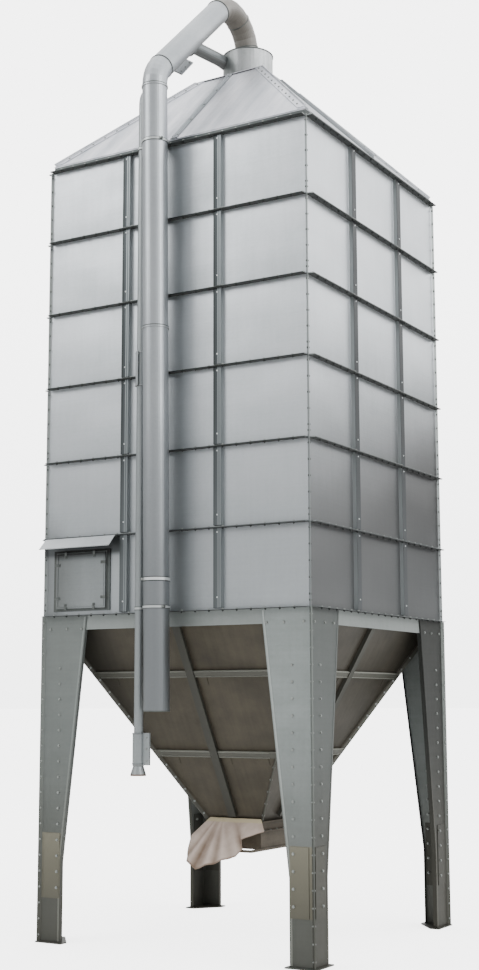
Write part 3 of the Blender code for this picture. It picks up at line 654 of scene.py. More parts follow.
@dataclass(frozen=True)
class DuctSheet(Galvanised):
    """Rolled duct sheet: long flat bands from the rolls, and bright straps with painted shadow along their
    edges.
    """

    band_mm: float = 42.0
    band_relief: float = 0.0009
    strap: str = "#DDE1E1"
    # Painted shadow along each strap's edges.
    strap_shadow: str = "#2E3130"
    straps: tuple[float, ...] = (3.466,)
    strap_half: float = 0.014
    strap_blur: float = 0.001
    edge_width: float = 0.009
    strap_share: float = 0.9

    def tints(self, graph: Graph, spot: Spot) -> Layers:
        """Adds the straps with the painted shadow at their edges.

        Args:
            graph: The graph.
            spot: The shaded point.

        Returns:
            Shares and their colours, in order.
        """
        layers = []
        for height in self.straps:
            shift = graph.add("Math", {0: spot.z, 1: height}, operation="SUBTRACT")
            away = graph.add("Math", {0: shift}, operation="ABSOLUTE")
            half, blur = self.strap_half, self.strap_blur
            end = half + self.edge_width
            # Painted shadow along both edges of each strap.
            rim = self.step(graph, away, (half - blur, half + blur), (end, end - blur), scale=0.9)
            strap = self.step(graph, away, (half, half - blur), scale=self.strap_share)
            layers += [(rim, self.strap_shadow), (strap, self.strap)]
        return super().tints(graph, spot) + layers

    def relief(self, graph: Graph, spot: Spot, tone: Socket) -> Socket:
        """Relief in metres: the rolls' long bands over the sheet's ripple.

        Args:
            graph: The graph.
            spot: The shaded point.
            tone: The zinc's tone.

        Returns:
            The height.
        """
        bands = self.noise(graph, spot, (self.band_mm, self.band_mm, 6000.0), 1.0)
        base = super().relief(graph, spot, tone)
        return graph.add("Math", {0: bands, 1: self.band_relief, 2: base}, operation="MULTIPLY_ADD")


@dataclass(frozen=True)
class FrameSteel(Galvanised):
    """Folded galvanised plate: splice plates browned, corner flanges with painted shade, painted shade on the
    right and rear, and darker on the left.

    The rear legs have painted shade but for their outer back and left faces.
    """

    splice: str = "#8F8C7B"
    splice_face: tuple[Pair, Pair] = ((1.5010, 1.5020), (1.5180, 1.5170))
    splice_run: tuple[Pair, Pair] = ((1.270, 1.285), (1.506, 1.500))
    splice_rise: tuple[Pair, Pair] = ((0.42, 0.43), (1.055, 1.045))
    # Painted shade on the corner flanges.
    fin: str = "#6A6F6C"
    fin_face: Pair = (1.5095, 1.5125)
    fin_run: Pair = (1.500, 1.505)
    # Painted shade on the legs' right faces, near their feet and on the rear legs' inner faces.
    right: str = "#3F4240"
    right_face: Pair = (1.4990, 1.5020)
    rear: str = "#212320"
    rear_run: tuple[Pair, Pair] = ((-1.30, 1.00), (1.5010, 1.4980))
    rear_left: Pair = (-1.5010, -1.4980)
    foot: str = "#1E201E"
    foot_fall: Pair = (2.00, 0.80)
    # Darker towards the left.
    left: str = "#454844"
    left_run: Pair = (0.20, -1.40)

    def tints(self, graph: Graph, spot: Spot) -> Layers:
        """Adds the painted shade of the right and rear, the darker left, the corner flanges' painted shade and
        the splice plates.

        Args:
            graph: The graph.
            spot: The shaded point.

        Returns:
            Shares and their colours, in order.
        """
        plate = self.step(graph, spot.far, *self.splice_face)
        plate = self.step(graph, spot.near, *self.splice_run, scale=plate)
        plate = self.step(graph, spot.z, *self.splice_rise, scale=plate)
        # Painted shade on the corner flanges.
        corner = self.step(graph, spot.far, self.fin_face)
        corner = self.step(graph, spot.near, self.fin_run, scale=corner)
        # Painted shade: the legs' right faces, deepest near the foot, and the rear legs' inner faces.
        right = self.step(graph, spot.x, self.right_face, scale=0.78)
        foot = self.step(graph, spot.x, self.right_face, scale=0.45)
        foot = self.step(graph, spot.z, self.foot_fall, scale=foot)
        rear = self.step(graph, spot.y, *self.rear_run, scale=0.95)
        rear = self.step(graph, spot.x, self.rear_left, scale=rear)
        # Darker towards the left.
        left = self.step(graph, spot.x, self.left_run, scale=0.50)
        return [(left, self.left), (plate, self.splice), (right, self.right), (foot, self.foot),
                (rear, self.rear), (corner, self.fin), *super().tints(graph, spot)]


@dataclass(frozen=True)
class HopperSteel(Galvanised):
    """Weathered sheet, browned by old product dust and darkened as painted shade, with painted shade right and
    left; its ribs are greyer, with painted light on top.
    """

    rib: str = "#4B4B44"
    rib_face: Pair = (0.012, 0.016)
    spine: str = "#383832"
    spine_half: Pair = (0.046, 0.044)
    # Painted light on the ribs' upper sides.
    rib_top_light: str = "#A3A59C"
    rib_top_light_slope: Pair = (0.10, 0.35)
    shade: str = "#2E2C27"
    left_run: Pair = (-0.45, -1.10)
    top_half: float = 1.44
    top: float = 3.150
    low_half: float = 0.29
    low: float = 1.140

    def tints(self, graph: Graph, spot: Spot) -> Layers:
        """Adds the ribs, the middle stiffeners, the ribs' upper sides and the darker right and left.

        Args:
            graph: The graph.
            spot: The shaded point.

        Returns:
            Shares and their colours, in order.
        """
        lean = (self.top_half - self.low_half) / (self.top - self.low)
        fall = math.sqrt(1 + lean * lean)
        inputs = {0: spot.z, 1: -lean / fall, 2: (lean * self.low - self.low_half) / fall}
        sheet = graph.add("Math", inputs, operation="MULTIPLY_ADD")
        height = graph.add("Math", {0: spot.far, 1: 1 / fall, 2: sheet}, operation="MULTIPLY_ADD")
        proud = self.step(graph, height, self.rib_face)
        middle = self.step(graph, spot.near, self.spine_half, scale=proud)
        # Painted light on the ribs' upper sides.
        rib_top_light = self.step(graph, spot.normal_z, self.rib_top_light_slope, scale=proud)
        right = self.right_slope(graph, spot, 0.5)
        left = self.step(graph, spot.x, self.left_run, scale=0.75)
        return [(right, self.shade), (left, self.shade), (proud, self.rib), (middle, self.spine),
                (rib_top_light, self.rib_top_light), *super().tints(graph, spot)]


@dataclass(frozen=True)
class Canvas:
    """Cotton canvas, woven and sun-bleached: dull, with a pinkish beige ground, painted shade in the folds'
    hollows and painted light on their ridges.
    """

    name: str = "cotton_canvas_woven"
    light: str = "#C9BAAF"
    dark: str = "#6E5B4B"
    hem: str = "#B5AB89"
    thread_mm: float = 3.0

    def build(self) -> Material:
        """Makes the material. The real thread of 0.8 mm is drawn at 3 mm, the finest that shows.

        Returns:
            The material.
        """
        material = bpy.data.materials.new(self.name)
        graph = Graph(material)
        flat = graph.add("UVMap", uv_map="flat")
        waves = {"Vector": flat, "Scale": 1000.0 / self.thread_mm / 2, "Distortion": 0.6}
        warp = graph.add("TexWave", waves, 1, bands_direction="X")
        weft = graph.add("TexWave", waves, 1, bands_direction="Y")
        weave = graph.add("Math", {0: warp, 1: weft}, operation="MULTIPLY")
        left_tone = graph.add("TexNoise", {"Vector": flat, "Scale": 7.0, "Detail": 4.0})
        # Painted shade and light: the folds' hollows darker, their ridges lighter.
        fold_shade = graph.add("Attribute", attribute_name="fold", out="Fac")
        tone = graph.add("Math", {0: left_tone, 1: 0.7, 2: -0.28}, operation="MULTIPLY_ADD")
        tone = graph.add("Math", {0: fold_shade, 1: 0.95, 2: tone}, operation="MULTIPLY_ADD", use_clamp=True)
        colour = graph.add("Mix", {0: tone, 6: srgb(self.dark), 7: srgb(self.light)}, 2, data_type="RGBA")
        down = graph.add("SeparateXYZ", {0: flat}, "Y")
        edge = {"Value": down, "From Min": 0.055, "From Max": 0.035, "To Max": 0.75}
        hem = graph.add("MapRange", edge, interpolation_type="SMOOTHSTEP")
        colour = graph.add("Mix", {0: hem, 6: colour, 7: srgb(self.hem)}, 2, data_type="RGBA")
        shade = graph.add("Math", {0: weave, 1: 0.12}, operation="MULTIPLY")
        colour = graph.add("Mix", {0: shade, 6: colour, 7: srgb(self.dark)}, 2, data_type="RGBA")
        bump = graph.add("Bump", {"Height": weave, "Distance": 0.0006, "Strength": 0.5})
        shader = graph.add("BsdfPrincipled", {
            "Base Color": colour, "Roughness": 0.92, "Specular IOR Level": 0.2, "Sheen Weight": 0.15,
            "Normal": bump,
        })
        graph.add("OutputMaterial", {"Surface": shader})
        return material


@dataclass
class Finishes:
    """The materials of the silo, each made once."""

    # The wall's rise is painted light, lighter towards the top of each module; its low tint makes it darker
    # towards the bottom.
    wall: Material = field(default_factory=WallSheet(
        "steel_sheet_hot_dip_galvanised", "#C6CACE", "#A5ABAE", rise=0.35, low_tint="#757A7C", low_from=3.3,
        low_to=5.7, low_share=0.42
    ).build)
    hatch: Material = field(default_factory=HatchSteel(
        "steel_cover_dull_galvanised", "#8A8F90", "#737879", roughness=0.5
    ).build)
    hatch_frame: Material = field(default_factory=HatchSteel(
        "steel_angle_dull_galvanised", "#646968", "#4C504F", roughness=0.5
    ).build)
    # The canopy's under colour starts on shallow slopes: painted shade on its underside.
    canopy: Material = field(default_factory=Galvanised(
        "steel_canopy_galvanised", "#BBBEC0", "#9CA1A3", roughness=0.45, under_from=-0.2, under_to=-0.5
    ).build)
    roof: Material = field(default_factory=RoofSheet(
        "steel_roof_sheet_galvanised", "#E4E4E9", "#A8AEB6", roughness=0.45, drip_mm=170.0, streak=0.10,
        drip=1.7, cloud=0.4
    ).build)
    collar: Material = field(default_factory=CollarSheet(
        "steel_collar_rolled_galvanised", "#C6C8CA", "#7F8583", roughness=0.45, streak=0.1, drip=1.5,
        cloud=0.8, drip_mm=110.0
    ).build)
    frame: Material = field(default_factory=FrameSteel(
        "steel_plate_folded_galvanised", "#8A908F", "#707775", metallic=0.6, roughness=0.5, streak_mm=30.0,
        cloud_mm=420.0, low_tint="#3C3B34", low_from=0.1, low_to=2.3, low_share=0.85
    ).build)
    ring: Material = field(default_factory=Galvanised(
        "steel_channel_galvanised", "#8A8F8D", "#777D7B", metallic=0.6, roughness=0.5, streak_mm=30.0
    ).build)
    # The hopper's dark colours are partly painted shade, for the shadow under the silo, over the real browning
    # of old dust.
    hopper: Material = field(default_factory=HopperSteel(
        "steel_sheet_weathered_zinc", "#4B4538", "#322E26", metallic=0.4, roughness=0.6, cloud_mm=420.0,
        cloud=1.1, streak=0.08, drip=0.6, under_share=0.3
    ).build)
    chute: Material = field(default_factory=Galvanised(
        "steel_outlet_dirty_zinc", "#5A5245", "#352F26", metallic=0.4, roughness=0.6, cloud_mm=200.0,
        under_share=0.6
    ).build)
    # The duct's under colour is painted shade on its undersides.
    duct: Material = field(default_factory=DuctSheet(
        "steel_duct_rolled_galvanised", "#B2B6B9", "#8C9195", metallic=0.85, roughness=0.36, streak=0.1,
        drip=0.6, cloud_mm=900.0, under="#5F5B54", under_from=-0.1, under_to=-0.8, under_share=0.75,
        low_tint="#64686A", low_from=2.4, low_to=6.0, low_share=0.80
    ).build)
    # The bend's under colour is painted shade on its undersides.
    bend: Material = field(default_factory=Galvanised(
        "steel_bend_rolled_galvanised", "#979693", "#67635D", metallic=0.8, roughness=0.42, streak=0.1,
        drip=0.9, cloud_mm=260.0, under="#4C4740", under_from=0.1, under_to=-0.7, under_share=0.8
    ).build)
    clamp: Material = field(default_factory=DuctSheet(
        "steel_clamp_pressed_galvanised", "#BCC0C1", "#9A9F9F", metallic=0.8, roughness=0.4, streak=0.1,
        band_relief=0.0, straps=PLAN.clamp_heights, strap_half=0.011, strap="#C4C8C8", strap_share=0.4
    ).build)
    # The pipe's under colour is painted shade on its undersides.
    pipe: Material = field(default_factory=Galvanised(
        "steel_tube_galvanised", "#979C9D", "#787D7F", metallic=0.8, roughness=0.4, streak=0.1, drip=0.5,
        under="#4C4A46", under_from=-0.1, under_to=-0.8, under_share=0.75, low_tint="#6B5648", low_from=1.641,
        low_to=1.652, low_share=0.9
    ).build)
    bolt: Material = field(default_factory=Galvanised(
        "steel_bolt_zinc_plated", "#9DA19E", "#6C706D", metallic=0.85, roughness=0.4, streak=0.1,
        cloud_mm=60.0, under_share=0.6
    ).build)
    screw: Material = field(default_factory=Galvanised(
        "steel_screw_bright_zinc", "#C9CDCD", "#ABB0B0", metallic=0.3, roughness=0.35, streak=0.1,
        cloud_mm=60.0, under_share=0.0
    ).build)
    nut: Material = field(default_factory=Galvanised(
        "steel_nut_dusty_zinc", "#2A2D2C", "#1E2120", metallic=0.5, roughness=0.6, streak=0.1, cloud_mm=60.0
    ).build)
    trim: Material = field(default_factory=Galvanised(
        "steel_strip_dull_zinc", "#626664", "#474B49", metallic=0.6, roughness=0.55, cloud_mm=120.0
    ).build)
    trim_light: Material = field(default_factory=FrameSteel(
        "steel_fold_worn_galvanised", "#A2A8A6", "#878D8B", metallic=0.6, roughness=0.45, streak_mm=30.0,
        low_tint="#5A5950", low_from=0.1, low_to=2.3, low_share=0.75
    ).build)
    canvas: Material = field(default_factory=Canvas().build)


def deselect() -> None:
    """Deselects every object and leaves none active."""
    for item in bpy.context.view_layer.objects:
        item.select_set(False)
    bpy.context.view_layer.objects.active = None


def open_edit(piece: Piece) -> None:
    """Opens a piece in edit mode with nothing selected.

    Args:
        piece: The piece.
    """
    deselect()
    piece.select_set(True)
    bpy.context.view_layer.objects.active = piece
    bpy.ops.object.mode_set(mode="EDIT")
    bpy.ops.mesh.select_all(action="DESELECT")


def close_edit() -> None:
    """Goes back to object mode."""
    bpy.ops.object.mode_set(mode="OBJECT")


def pick_faces(piece: Piece, test: Callable[[Vector, Vector], bool]) -> None:
    """Selects the faces of the piece in edit mode that pass a test of their middle and normal.

    Args:
        piece: The piece in edit mode.
        test: Takes a face's middle and its normal.
    """
    bpy.context.tool_settings.mesh_select_mode = (False, False, True)
    shape = bmesh.from_edit_mesh(piece.data)
    for face in shape.faces:
        face.select_set(test(face.calc_center_median(), face.normal))
    bmesh.update_edit_mesh(piece.data)


def pick_edges(piece: Piece, test: Callable[[Vector, Vector], bool]) -> None:
    """Selects the edges of the piece in edit mode that pass a test of their two ends.

    Args:
        piece: The piece in edit mode.
        test: Takes an edge's ends.
    """
    bpy.context.tool_settings.mesh_select_mode = (False, True, False)
    shape = bmesh.from_edit_mesh(piece.data)
    for edge in shape.edges:
        edge.select_set(test(edge.verts[0].co, edge.verts[1].co))
    bmesh.update_edit_mesh(piece.data)


def taken_mesh(piece: Piece) -> Mesh:
    """The mesh of a working object in world place, with the object removed.

    Args:
        piece: The working object.

    Returns:
        Its mesh.
    """
    bpy.context.view_layer.update()
    mesh = piece.data.copy()
    mesh.transform(piece.matrix_world)
    bpy.data.objects.remove(piece, do_unlink=True)
    return mesh


def joined(name: str, parts: Iterable[Mesh]) -> Mesh:
    """Puts meshes together as one.

    Args:
        name: The mesh's name.
        parts: The meshes, which are used up.

    Returns:
        The one mesh.
    """
    shape = bmesh.new()
    for part in parts:
        shape.from_mesh(part)
        bpy.data.meshes.remove(part)
    mesh = bpy.data.meshes.new(name)
    shape.to_mesh(mesh)
    shape.free()
    return mesh


def copies(name: str, template: Mesh, places: Sequence[Matrix]) -> Mesh:
    """Copies a template to many places, each copy with its own mesh, and puts them together.

    Args:
        name: The mesh's name.
        template: What is copied.
        places: Where each copy goes.

    Returns:
        The one mesh.
    """
    parts = []
    for place in places:
        part = template.copy()
        part.transform(place)
        if place.determinant() < 0:
            part.flip_normals()
        parts.append(part)
    return joined(name, parts)


def settle(name: str, mesh: Mesh, material: Material, smooth: float = 35.0) -> Piece:
    """Makes a finished piece that rides on the silo.

    Args:
        name: The piece's name.
        mesh: Its mesh, in the silo's own axes.
        material: Its finish.
        smooth: Edges under this angle, in degrees, are shaded smooth.

    Returns:
        The piece, at the origin, unturned and unscaled.
    """
    mesh.transform(Matrix.Translation((0, PLAN.axis_y, 0)))
    mesh.name = name
    mesh.materials.clear()
    mesh.materials.append(material)
    mesh.shade_smooth()
    mesh.set_sharp_from_angle(angle=math.radians(smooth))
    piece = bpy.data.objects.new(name, mesh)
    bpy.context.scene.collection.objects.link(piece)
    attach(piece, "root")
    LOG.info("%s: %d faces", name, len(mesh.polygons))
    return piece


def seat(point: Sequence[float], out: Sequence[float], up: Sequence[float] = (0, 0, 1)) -> Matrix:
    """Places a template that stands on its own Z axis.

    Args:
        point: Where its seat is.
        out: Where its Z axis points.
        up: A direction that its Y axis leans to.

    Returns:
        The matrix.
    """
    z = Vector(out).normalized()
    x = Vector(up).cross(z)
    if x.length < 0.01:
        x = Vector((1, 0, 0)).cross(z)
    x.normalize()
    y = z.cross(x)
    return Matrix.Translation(Vector(point)) @ Matrix((x, y, z)).transposed().to_4x4()


def both_faces(point: Vector, out: Vector, reach: float) -> tuple[Matrix, Matrix]:
    """Seats on the two faces of a plate, pointing away from it.

    Args:
        point: The plate's middle.
        out: The way through the plate.
        reach: From its middle to a face.

    Returns:
        The seat against that way and the seat along it.
    """
    return seat(point - out * reach, -out), seat(point + out * reach, out)


def moved(mesh: Mesh, place: Matrix) -> Mesh:
    """Moves a mesh.

    Args:
        mesh: The mesh.
        place: Where it goes.

    Returns:
        The same mesh.
    """
    mesh.transform(place)
    return mesh


def steps(start: float, end: float, pitch: float) -> list[float]:
    """Evenly spaced values from start to end, as near the pitch as the length allows."""
    count = max(1, round(abs(end - start) / pitch))
    return [start + (end - start) * i / count for i in range(count + 1)]


@dataclass(frozen=True)
class HexBolt:
    """A hexagon head, or a nut with its thread's end, on a washer, in metres."""

    flats: float = 0.019
    head: float = 0.0075
    washer: float = 0.0125
    washer_height: float = 0.0025
    stub: float = 0.0

    def model(self) -> Mesh:
        """Models the fastener on the origin, pointing up.

        Returns:
            The fastener's mesh.
        """
        deselect()
        bpy.ops.mesh.primitive_cylinder_add(vertices=12, radius=self.washer, depth=self.washer_height,
                                            location=(0, 0, self.washer_height / 2))
        disc = bpy.context.active_object
        open_edit(disc)
        top = self.washer_height / 2
        pick_edges(disc, lambda a, b: min(a.z, b.z) > top - 0.0001)
        bpy.ops.mesh.bevel(offset=self.washer_height * 0.3, segments=1)
        close_edit()
        parts = [taken_mesh(disc)]
        deselect()
        radius = self.flats / ROOT_THREE
        bpy.ops.mesh.primitive_cylinder_add(vertices=6, radius=radius, depth=self.head,
                                            location=(0, 0, self.washer_height + self.head / 2))
        nut = bpy.context.active_object
        open_edit(nut)
        pick_faces(nut, lambda middle, normal: normal.z > 0.9)
        bpy.ops.mesh.bevel(offset=self.head * 0.16, segments=1)
        if self.stub:
            pick_faces(nut, lambda middle, normal: normal.z > 0.9)
            bpy.ops.mesh.inset(thickness=radius * 0.42)
            bpy.ops.mesh.extrude_region_move(TRANSFORM_OT_translate={"value": (0, 0, self.stub)})
        close_edit()
        parts.append(taken_mesh(nut))
        return joined("fastener", parts)


@dataclass(frozen=True)
class DomeRivet:
    """A low round rivet or screw head, in metres."""

    radius: float = 0.008
    height: float = 0.0035

    def model(self) -> Mesh:
        """Models the head on the origin, pointing up.

        Returns:
            The head's mesh.
        """
        deselect()
        bpy.ops.mesh.primitive_uv_sphere_add(segments=10, ring_count=6, radius=self.radius)
        ball = bpy.context.active_object
        open_edit(ball)
        bpy.ops.mesh.select_all(action="SELECT")
        bpy.ops.mesh.bisect(plane_co=(0, 0, 0), plane_no=(0, 0, 1), clear_inner=True, use_fill=True)
        bpy.ops.mesh.select_all(action="SELECT")
        bpy.ops.transform.resize(value=(1, 1, self.height / self.radius), center_override=(0, 0, 0))
        close_edit()
        return taken_mesh(ball)


def spun(place: Sequence[float], size: Pair, angle: float, segments: int, edge: float = 0.0) -> Mesh:
    """A rectangle on the XZ plane, spun round the Z axis.

    Args:
        place: The rectangle's middle.
        size: Its width and its height.
        angle: How far it is spun. A full turn leaves no face inside.
        segments: Steps of the spin.
        edge: Rounding of its corners, as a share of the smaller side.

    Returns:
        The mesh.
    """
    deselect()
    bpy.ops.mesh.primitive_plane_add(size=1, location=place, rotation=(math.pi / 2, 0, 0))
    item = bpy.context.active_object
    item.scale = (*size, 1)
    bpy.ops.object.transform_apply(location=True, rotation=True, scale=True)
    open_edit(item)
    bpy.ops.mesh.select_all(action="SELECT")
    if edge:
        bpy.ops.mesh.bevel(offset=min(size) * edge, segments=1, affect="VERTICES")
    if angle == math.tau:
        bpy.ops.mesh.delete(type="ONLY_FACE")
        bpy.ops.mesh.select_all(action="SELECT")
    bpy.ops.mesh.spin(steps=segments, angle=angle, center=(0, 0, 0), axis=(0, 0, 1))
    bpy.ops.mesh.select_all(action="SELECT")
    bpy.ops.mesh.remove_doubles(threshold=0.00005)
    bpy.ops.mesh.normals_make_consistent(inside=False)
    close_edit()
    return taken_mesh(item)


def turned_band(radius: float, width: float, proud: float, segments: int = 48, edge: float = 0.3) -> Mesh:
    """A rounded band round the Z axis, centred on the origin.

    Args:
        radius: The band's inner radius.
        width: Its width along the axis.
        proud: How far it stands out.
        segments: Steps of the spin.
        edge: Rounding of the section's corners, as a share of the smaller side.

    Returns:
        The band's mesh.
    """
    return spun((radius + proud / 2, 0, 0), (proud, width), math.tau, segments, edge)


def bar(low: Sequence[float], high: Sequence[float], bevel: float = 0.0) -> Mesh:
    """A bar between two corners, with its edges taken off.

    Args:
        low: Lowest corner.
        high: Highest corner.
        bevel: Width of the edges' bevel.

    Returns:
        The bar's mesh.
    """
    deselect()
    middle = [(a + b) / 2 for a, b in zip(low, high)]
    bpy.ops.mesh.primitive_cube_add(size=1, location=middle)
    item = bpy.context.active_object
    item.scale = [b - a for a, b in zip(low, high)]
    bpy.ops.object.transform_apply(location=True, rotation=True, scale=True)
    if bevel:
        open_edit(item)
        bpy.ops.mesh.select_all(action="SELECT")
        bpy.ops.mesh.bevel(offset=bevel, segments=1)
        close_edit()
    return taken_mesh(item)


@dataclass
class Walls:
    """Fasteners of the wall modules: flange bolts, corner bolts and stiffener bolts."""

    bolt: HexBolt = HexBolt()
    nut: HexBolt = HexBolt(head=0.010, stub=0.006)
    rib_bolt: HexBolt = HexBolt(flats=0.012, head=0.005, washer=0.0080, washer_height=0.0015)
    fin_bolt: HexBolt = HexBolt(flats=0.016, head=0.006, washer=0.0100, washer_height=0.0015)
    fin_nut: HexBolt = HexBolt(flats=0.016, head=0.007, washer=0.0100, washer_height=0.0015, stub=0.002)
    flange_line: float = 1.552
    flange_span: float = 1.368
    canopy: Pair = (-1.50, -0.60)
    canopy_sheet: float = 0.0035
    gusset_room: float = 0.03
    fin_line: float = 1.5145
    fin_face: float = 0.0052
    fin_heights: tuple[float, ...] = (0.062, 0.117, 0.269, 0.421, 0.573, 0.725)
    rib_heights: tuple[float, ...] = (0.120, 0.735)

    def dress(self, finishes: Finishes) -> None:
        """Builds the walls' fasteners.

        Args:
            finishes: The materials.
        """
        bolt = self.bolt.model()
        nut = self.nut.model()
        for side in Side:
            heads, nuts = self.flange_places(side)
            name = side.name.lower()
            settle(f"flange_bolts_{name}", copies("heads", bolt, heads), finishes.bolt)
            settle(f"flange_nuts_{name}", copies("nuts", nut, nuts), finishes.nut)
        places = self.fin_places()
        small = (self.fin_bolt.model(), self.fin_nut.model())
        mesh = joined("fins", [copies("fin", item, spots) for item, spots in zip(small, places)])
        settle("corner_bolts", mesh, finishes.trim)
        screw = self.rib_bolt.model()
        settle("stiffener_bolts", copies("ribs", screw, self.rib_places()), finishes.screw)

    def flange_places(self, side: Side) -> tuple[list[Matrix], list[Matrix]]:
        """Places of the heads above and the nuts below every flange joint of one side.

        Args:
            side: The side.

        Returns:
            The heads' and the nuts' places.
        """
        heads, nuts = [], []
        for level in range(PLAN.levels + 1):
            joint = PLAN.leg_top + level * PLAN.module
            lower = joint - (PLAN.flange_face if level else 0.0)
            for x in steps(-self.flange_span, self.flange_span, PLAN.pitch):
                if side is Side.FRONT and not level and abs(x) < self.gusset_room:
                    continue
                covered = side is Side.FRONT and level == 1 and self.canopy[0] < x < self.canopy[1]
                base = lower - (self.canopy_sheet if covered else 0.0)
                heads.append(side.turn @ seat((x, -self.flange_line, joint + PLAN.flange_face), (0, 0, 1)))
                nuts.append(side.turn @ seat((x, -self.flange_line, base), (0, 0, -1)))
        return heads, nuts

    def fin_places(self) -> tuple[list[Matrix], list[Matrix]]:
        """Places of the bolts through the upright corner flanges of all modules.

        Returns:
            The heads' and the nuts' places.
        """
        heads, nuts = [], []
        across = Vector((1, 1, 0)).normalized()
        middle = Vector((self.fin_line, -self.fin_line, 0))
        for side in Side:
            for level in range(PLAN.levels):
                for rise in self.fin_heights:
                    point = middle + Vector((0, 0, PLAN.leg_top + level * PLAN.module + rise))
                    nut, head = both_faces(point, across, self.fin_face)
                    heads.append(side.turn @ head)
                    nuts.append(side.turn @ nut)
        return heads, nuts

    def rib_places(self) -> list[Matrix]:
        """Places of the screws on the stiffeners' faces.

        Returns:
            The places.
        """
        places = []
        for side in Side:
            for level in range(PLAN.levels):
                for x in (-PLAN.rib_place, PLAN.rib_place):
                    for rise in self.rib_heights:
                        height = PLAN.leg_top + level * PLAN.module + rise
                        places.append(side.turn @ seat((x, -PLAN.rib_face, height), (0, -1, 0)))
        return places


@dataclass
class Legs:
    """Fasteners and foot details of the four legs."""

    bolt: HexBolt = HexBolt(flats=0.022, head=0.0085, washer=0.0145)
    nut: HexBolt = HexBolt(flats=0.022, head=0.012, washer=0.0145, stub=0.007)
    fin_bolt: HexBolt = HexBolt(flats=0.015, head=0.006, washer=0.0100, washer_height=0.002)
    fin_nut: HexBolt = HexBolt(flats=0.015, head=0.007, washer=0.0100, washer_height=0.002, stub=0.004)
    face: float = 1.5103
    inner_face: float = 1.5003
    splice: float = 0.006
    splice_low: float = 0.43
    splice_high: float = 1.045
    inner_splice_low: float = 0.40
    rows: int = 15
    top_row: float = 2.65
    row_pitch: float = 0.1516
    front_column: float = 0.195
    side_column: float = 0.172
    head_row: float = 3.040
    head_columns: tuple[float, ...] = (0.070, 0.275, 0.455)
    fin_line: float = 1.5228
    fin_face: float = 0.0062
    fin_rows: tuple[int, int] = (-3, 18)
    corner: float = 1.51
    widths: Line = ((0.505, 0.230), (0.565, 0.275))
    fold_heights: Triple = (3.155, 0.77, 0.020)
    fold_width: float = 0.020
    fold_proud: float = 0.003

    def dress(self, finishes: Finishes) -> None:
        """Builds the legs' fasteners.

        Args:
            finishes: The materials.
        """
        bolt = self.bolt.model()
        nut = self.nut.model()
        heads, nuts = self.plate_places()
        fin_heads, fin_nuts = self.fin_places()
        mesh = joined("legs", [copies("heads", bolt, heads), copies("nuts", nut, nuts),
                               copies("fin", self.fin_bolt.model(), fin_heads),
                               copies("fin", self.fin_nut.model(), fin_nuts)])
        settle("leg_bolts", mesh, finishes.bolt)
        settle("leg_edge_folds", joined("folds", self.edge_folds()), finishes.trim_light)

    def edge_folds(self) -> list[Mesh]:
        """The folds that stand out along the tapered edges of every leg's two plates.

        Returns:
            One mesh for each straight length.
        """
        folds = []
        top, knee, foot = self.fold_heights
        swapped = Matrix(((0, -1, 0, 0), (-1, 0, 0, 0), (0, 0, 1, 0), (0, 0, 0, 1)))
        for (wide, narrow), plate in zip(self.widths, (Matrix.Identity(4), swapped)):
            for low, high in (((narrow, foot), (narrow, knee)), ((narrow, knee), (wide, top))):
                start = Vector((self.corner - low[0], -self.face, low[1]))
                end = Vector((self.corner - high[0], -self.face, high[1]))
                corner = (self.fold_width, PLAN.sunk, (end - start).length)
                strip = bar((PLAN.sunk, -self.fold_proud, 0.0), corner, 0.001)
                lean = Matrix.Rotation(math.atan2(end.x - start.x, end.z - start.z), 4, "Y")
                places = [turn @ plate @ Matrix.Translation(start) @ lean for turn in self.corners()]
                folds.append(copies("fold", strip, places))
        return folds

    def corners(self) -> list[Matrix]:
        """Mirrors that take the front right leg to each corner."""
        return [Matrix.Diagonal((x, y, 1, 1)) for x in (1, -1) for y in (1, -1)]

    def plate_places(self) -> tuple[list[Matrix], list[Matrix]]:
        """Places of the heads outside and the nuts inside the legs' plates.

        Returns:
            The heads' and the nuts' places.
        """
        heads, nuts = [], []
        for turn in self.corners():
            for row in range(self.rows):
                height = self.top_row - row * self.row_pitch
                lap = self.splice if self.splice_low < height < self.splice_high else 0.0
                back = self.splice if self.inner_splice_low < height < self.splice_high else 0.0
                x = self.face - self.front_column
                y = self.face - self.side_column
                heads.append(turn @ seat((x, -self.face - lap, height), (0, -1, 0)))
                heads.append(turn @ seat((self.face + lap, -y, height), (1, 0, 0)))
                nuts.append(turn @ seat((x, -self.inner_face + back, height), (0, 1, 0)))
                nuts.append(turn @ seat((self.inner_face - back, -y, height), (-1, 0, 0)))
            for column in self.head_columns:
                x = self.face - column
                heads.append(turn @ seat((x, -self.face, self.head_row), (0, -1, 0)))
                heads.append(turn @ seat((self.face, -x, self.head_row), (1, 0, 0)))
        return heads, nuts

    def fin_places(self) -> tuple[list[Matrix], list[Matrix]]:
        """Places of the bolts through the legs' corner flanges.

        Returns:
            The heads' and the nuts' places.
        """
        heads, nuts = [], []
        across = Vector((1, 1, 0)).normalized()
        for turn in self.corners():
            for row in range(*self.fin_rows):
                point = Vector((self.fin_line, -self.fin_line, self.top_row - row * self.row_pitch))
                nut, head = both_faces(point, across, self.fin_face)
                heads.append(turn @ head)
                nuts.append(turn @ nut)
        return heads, nuts


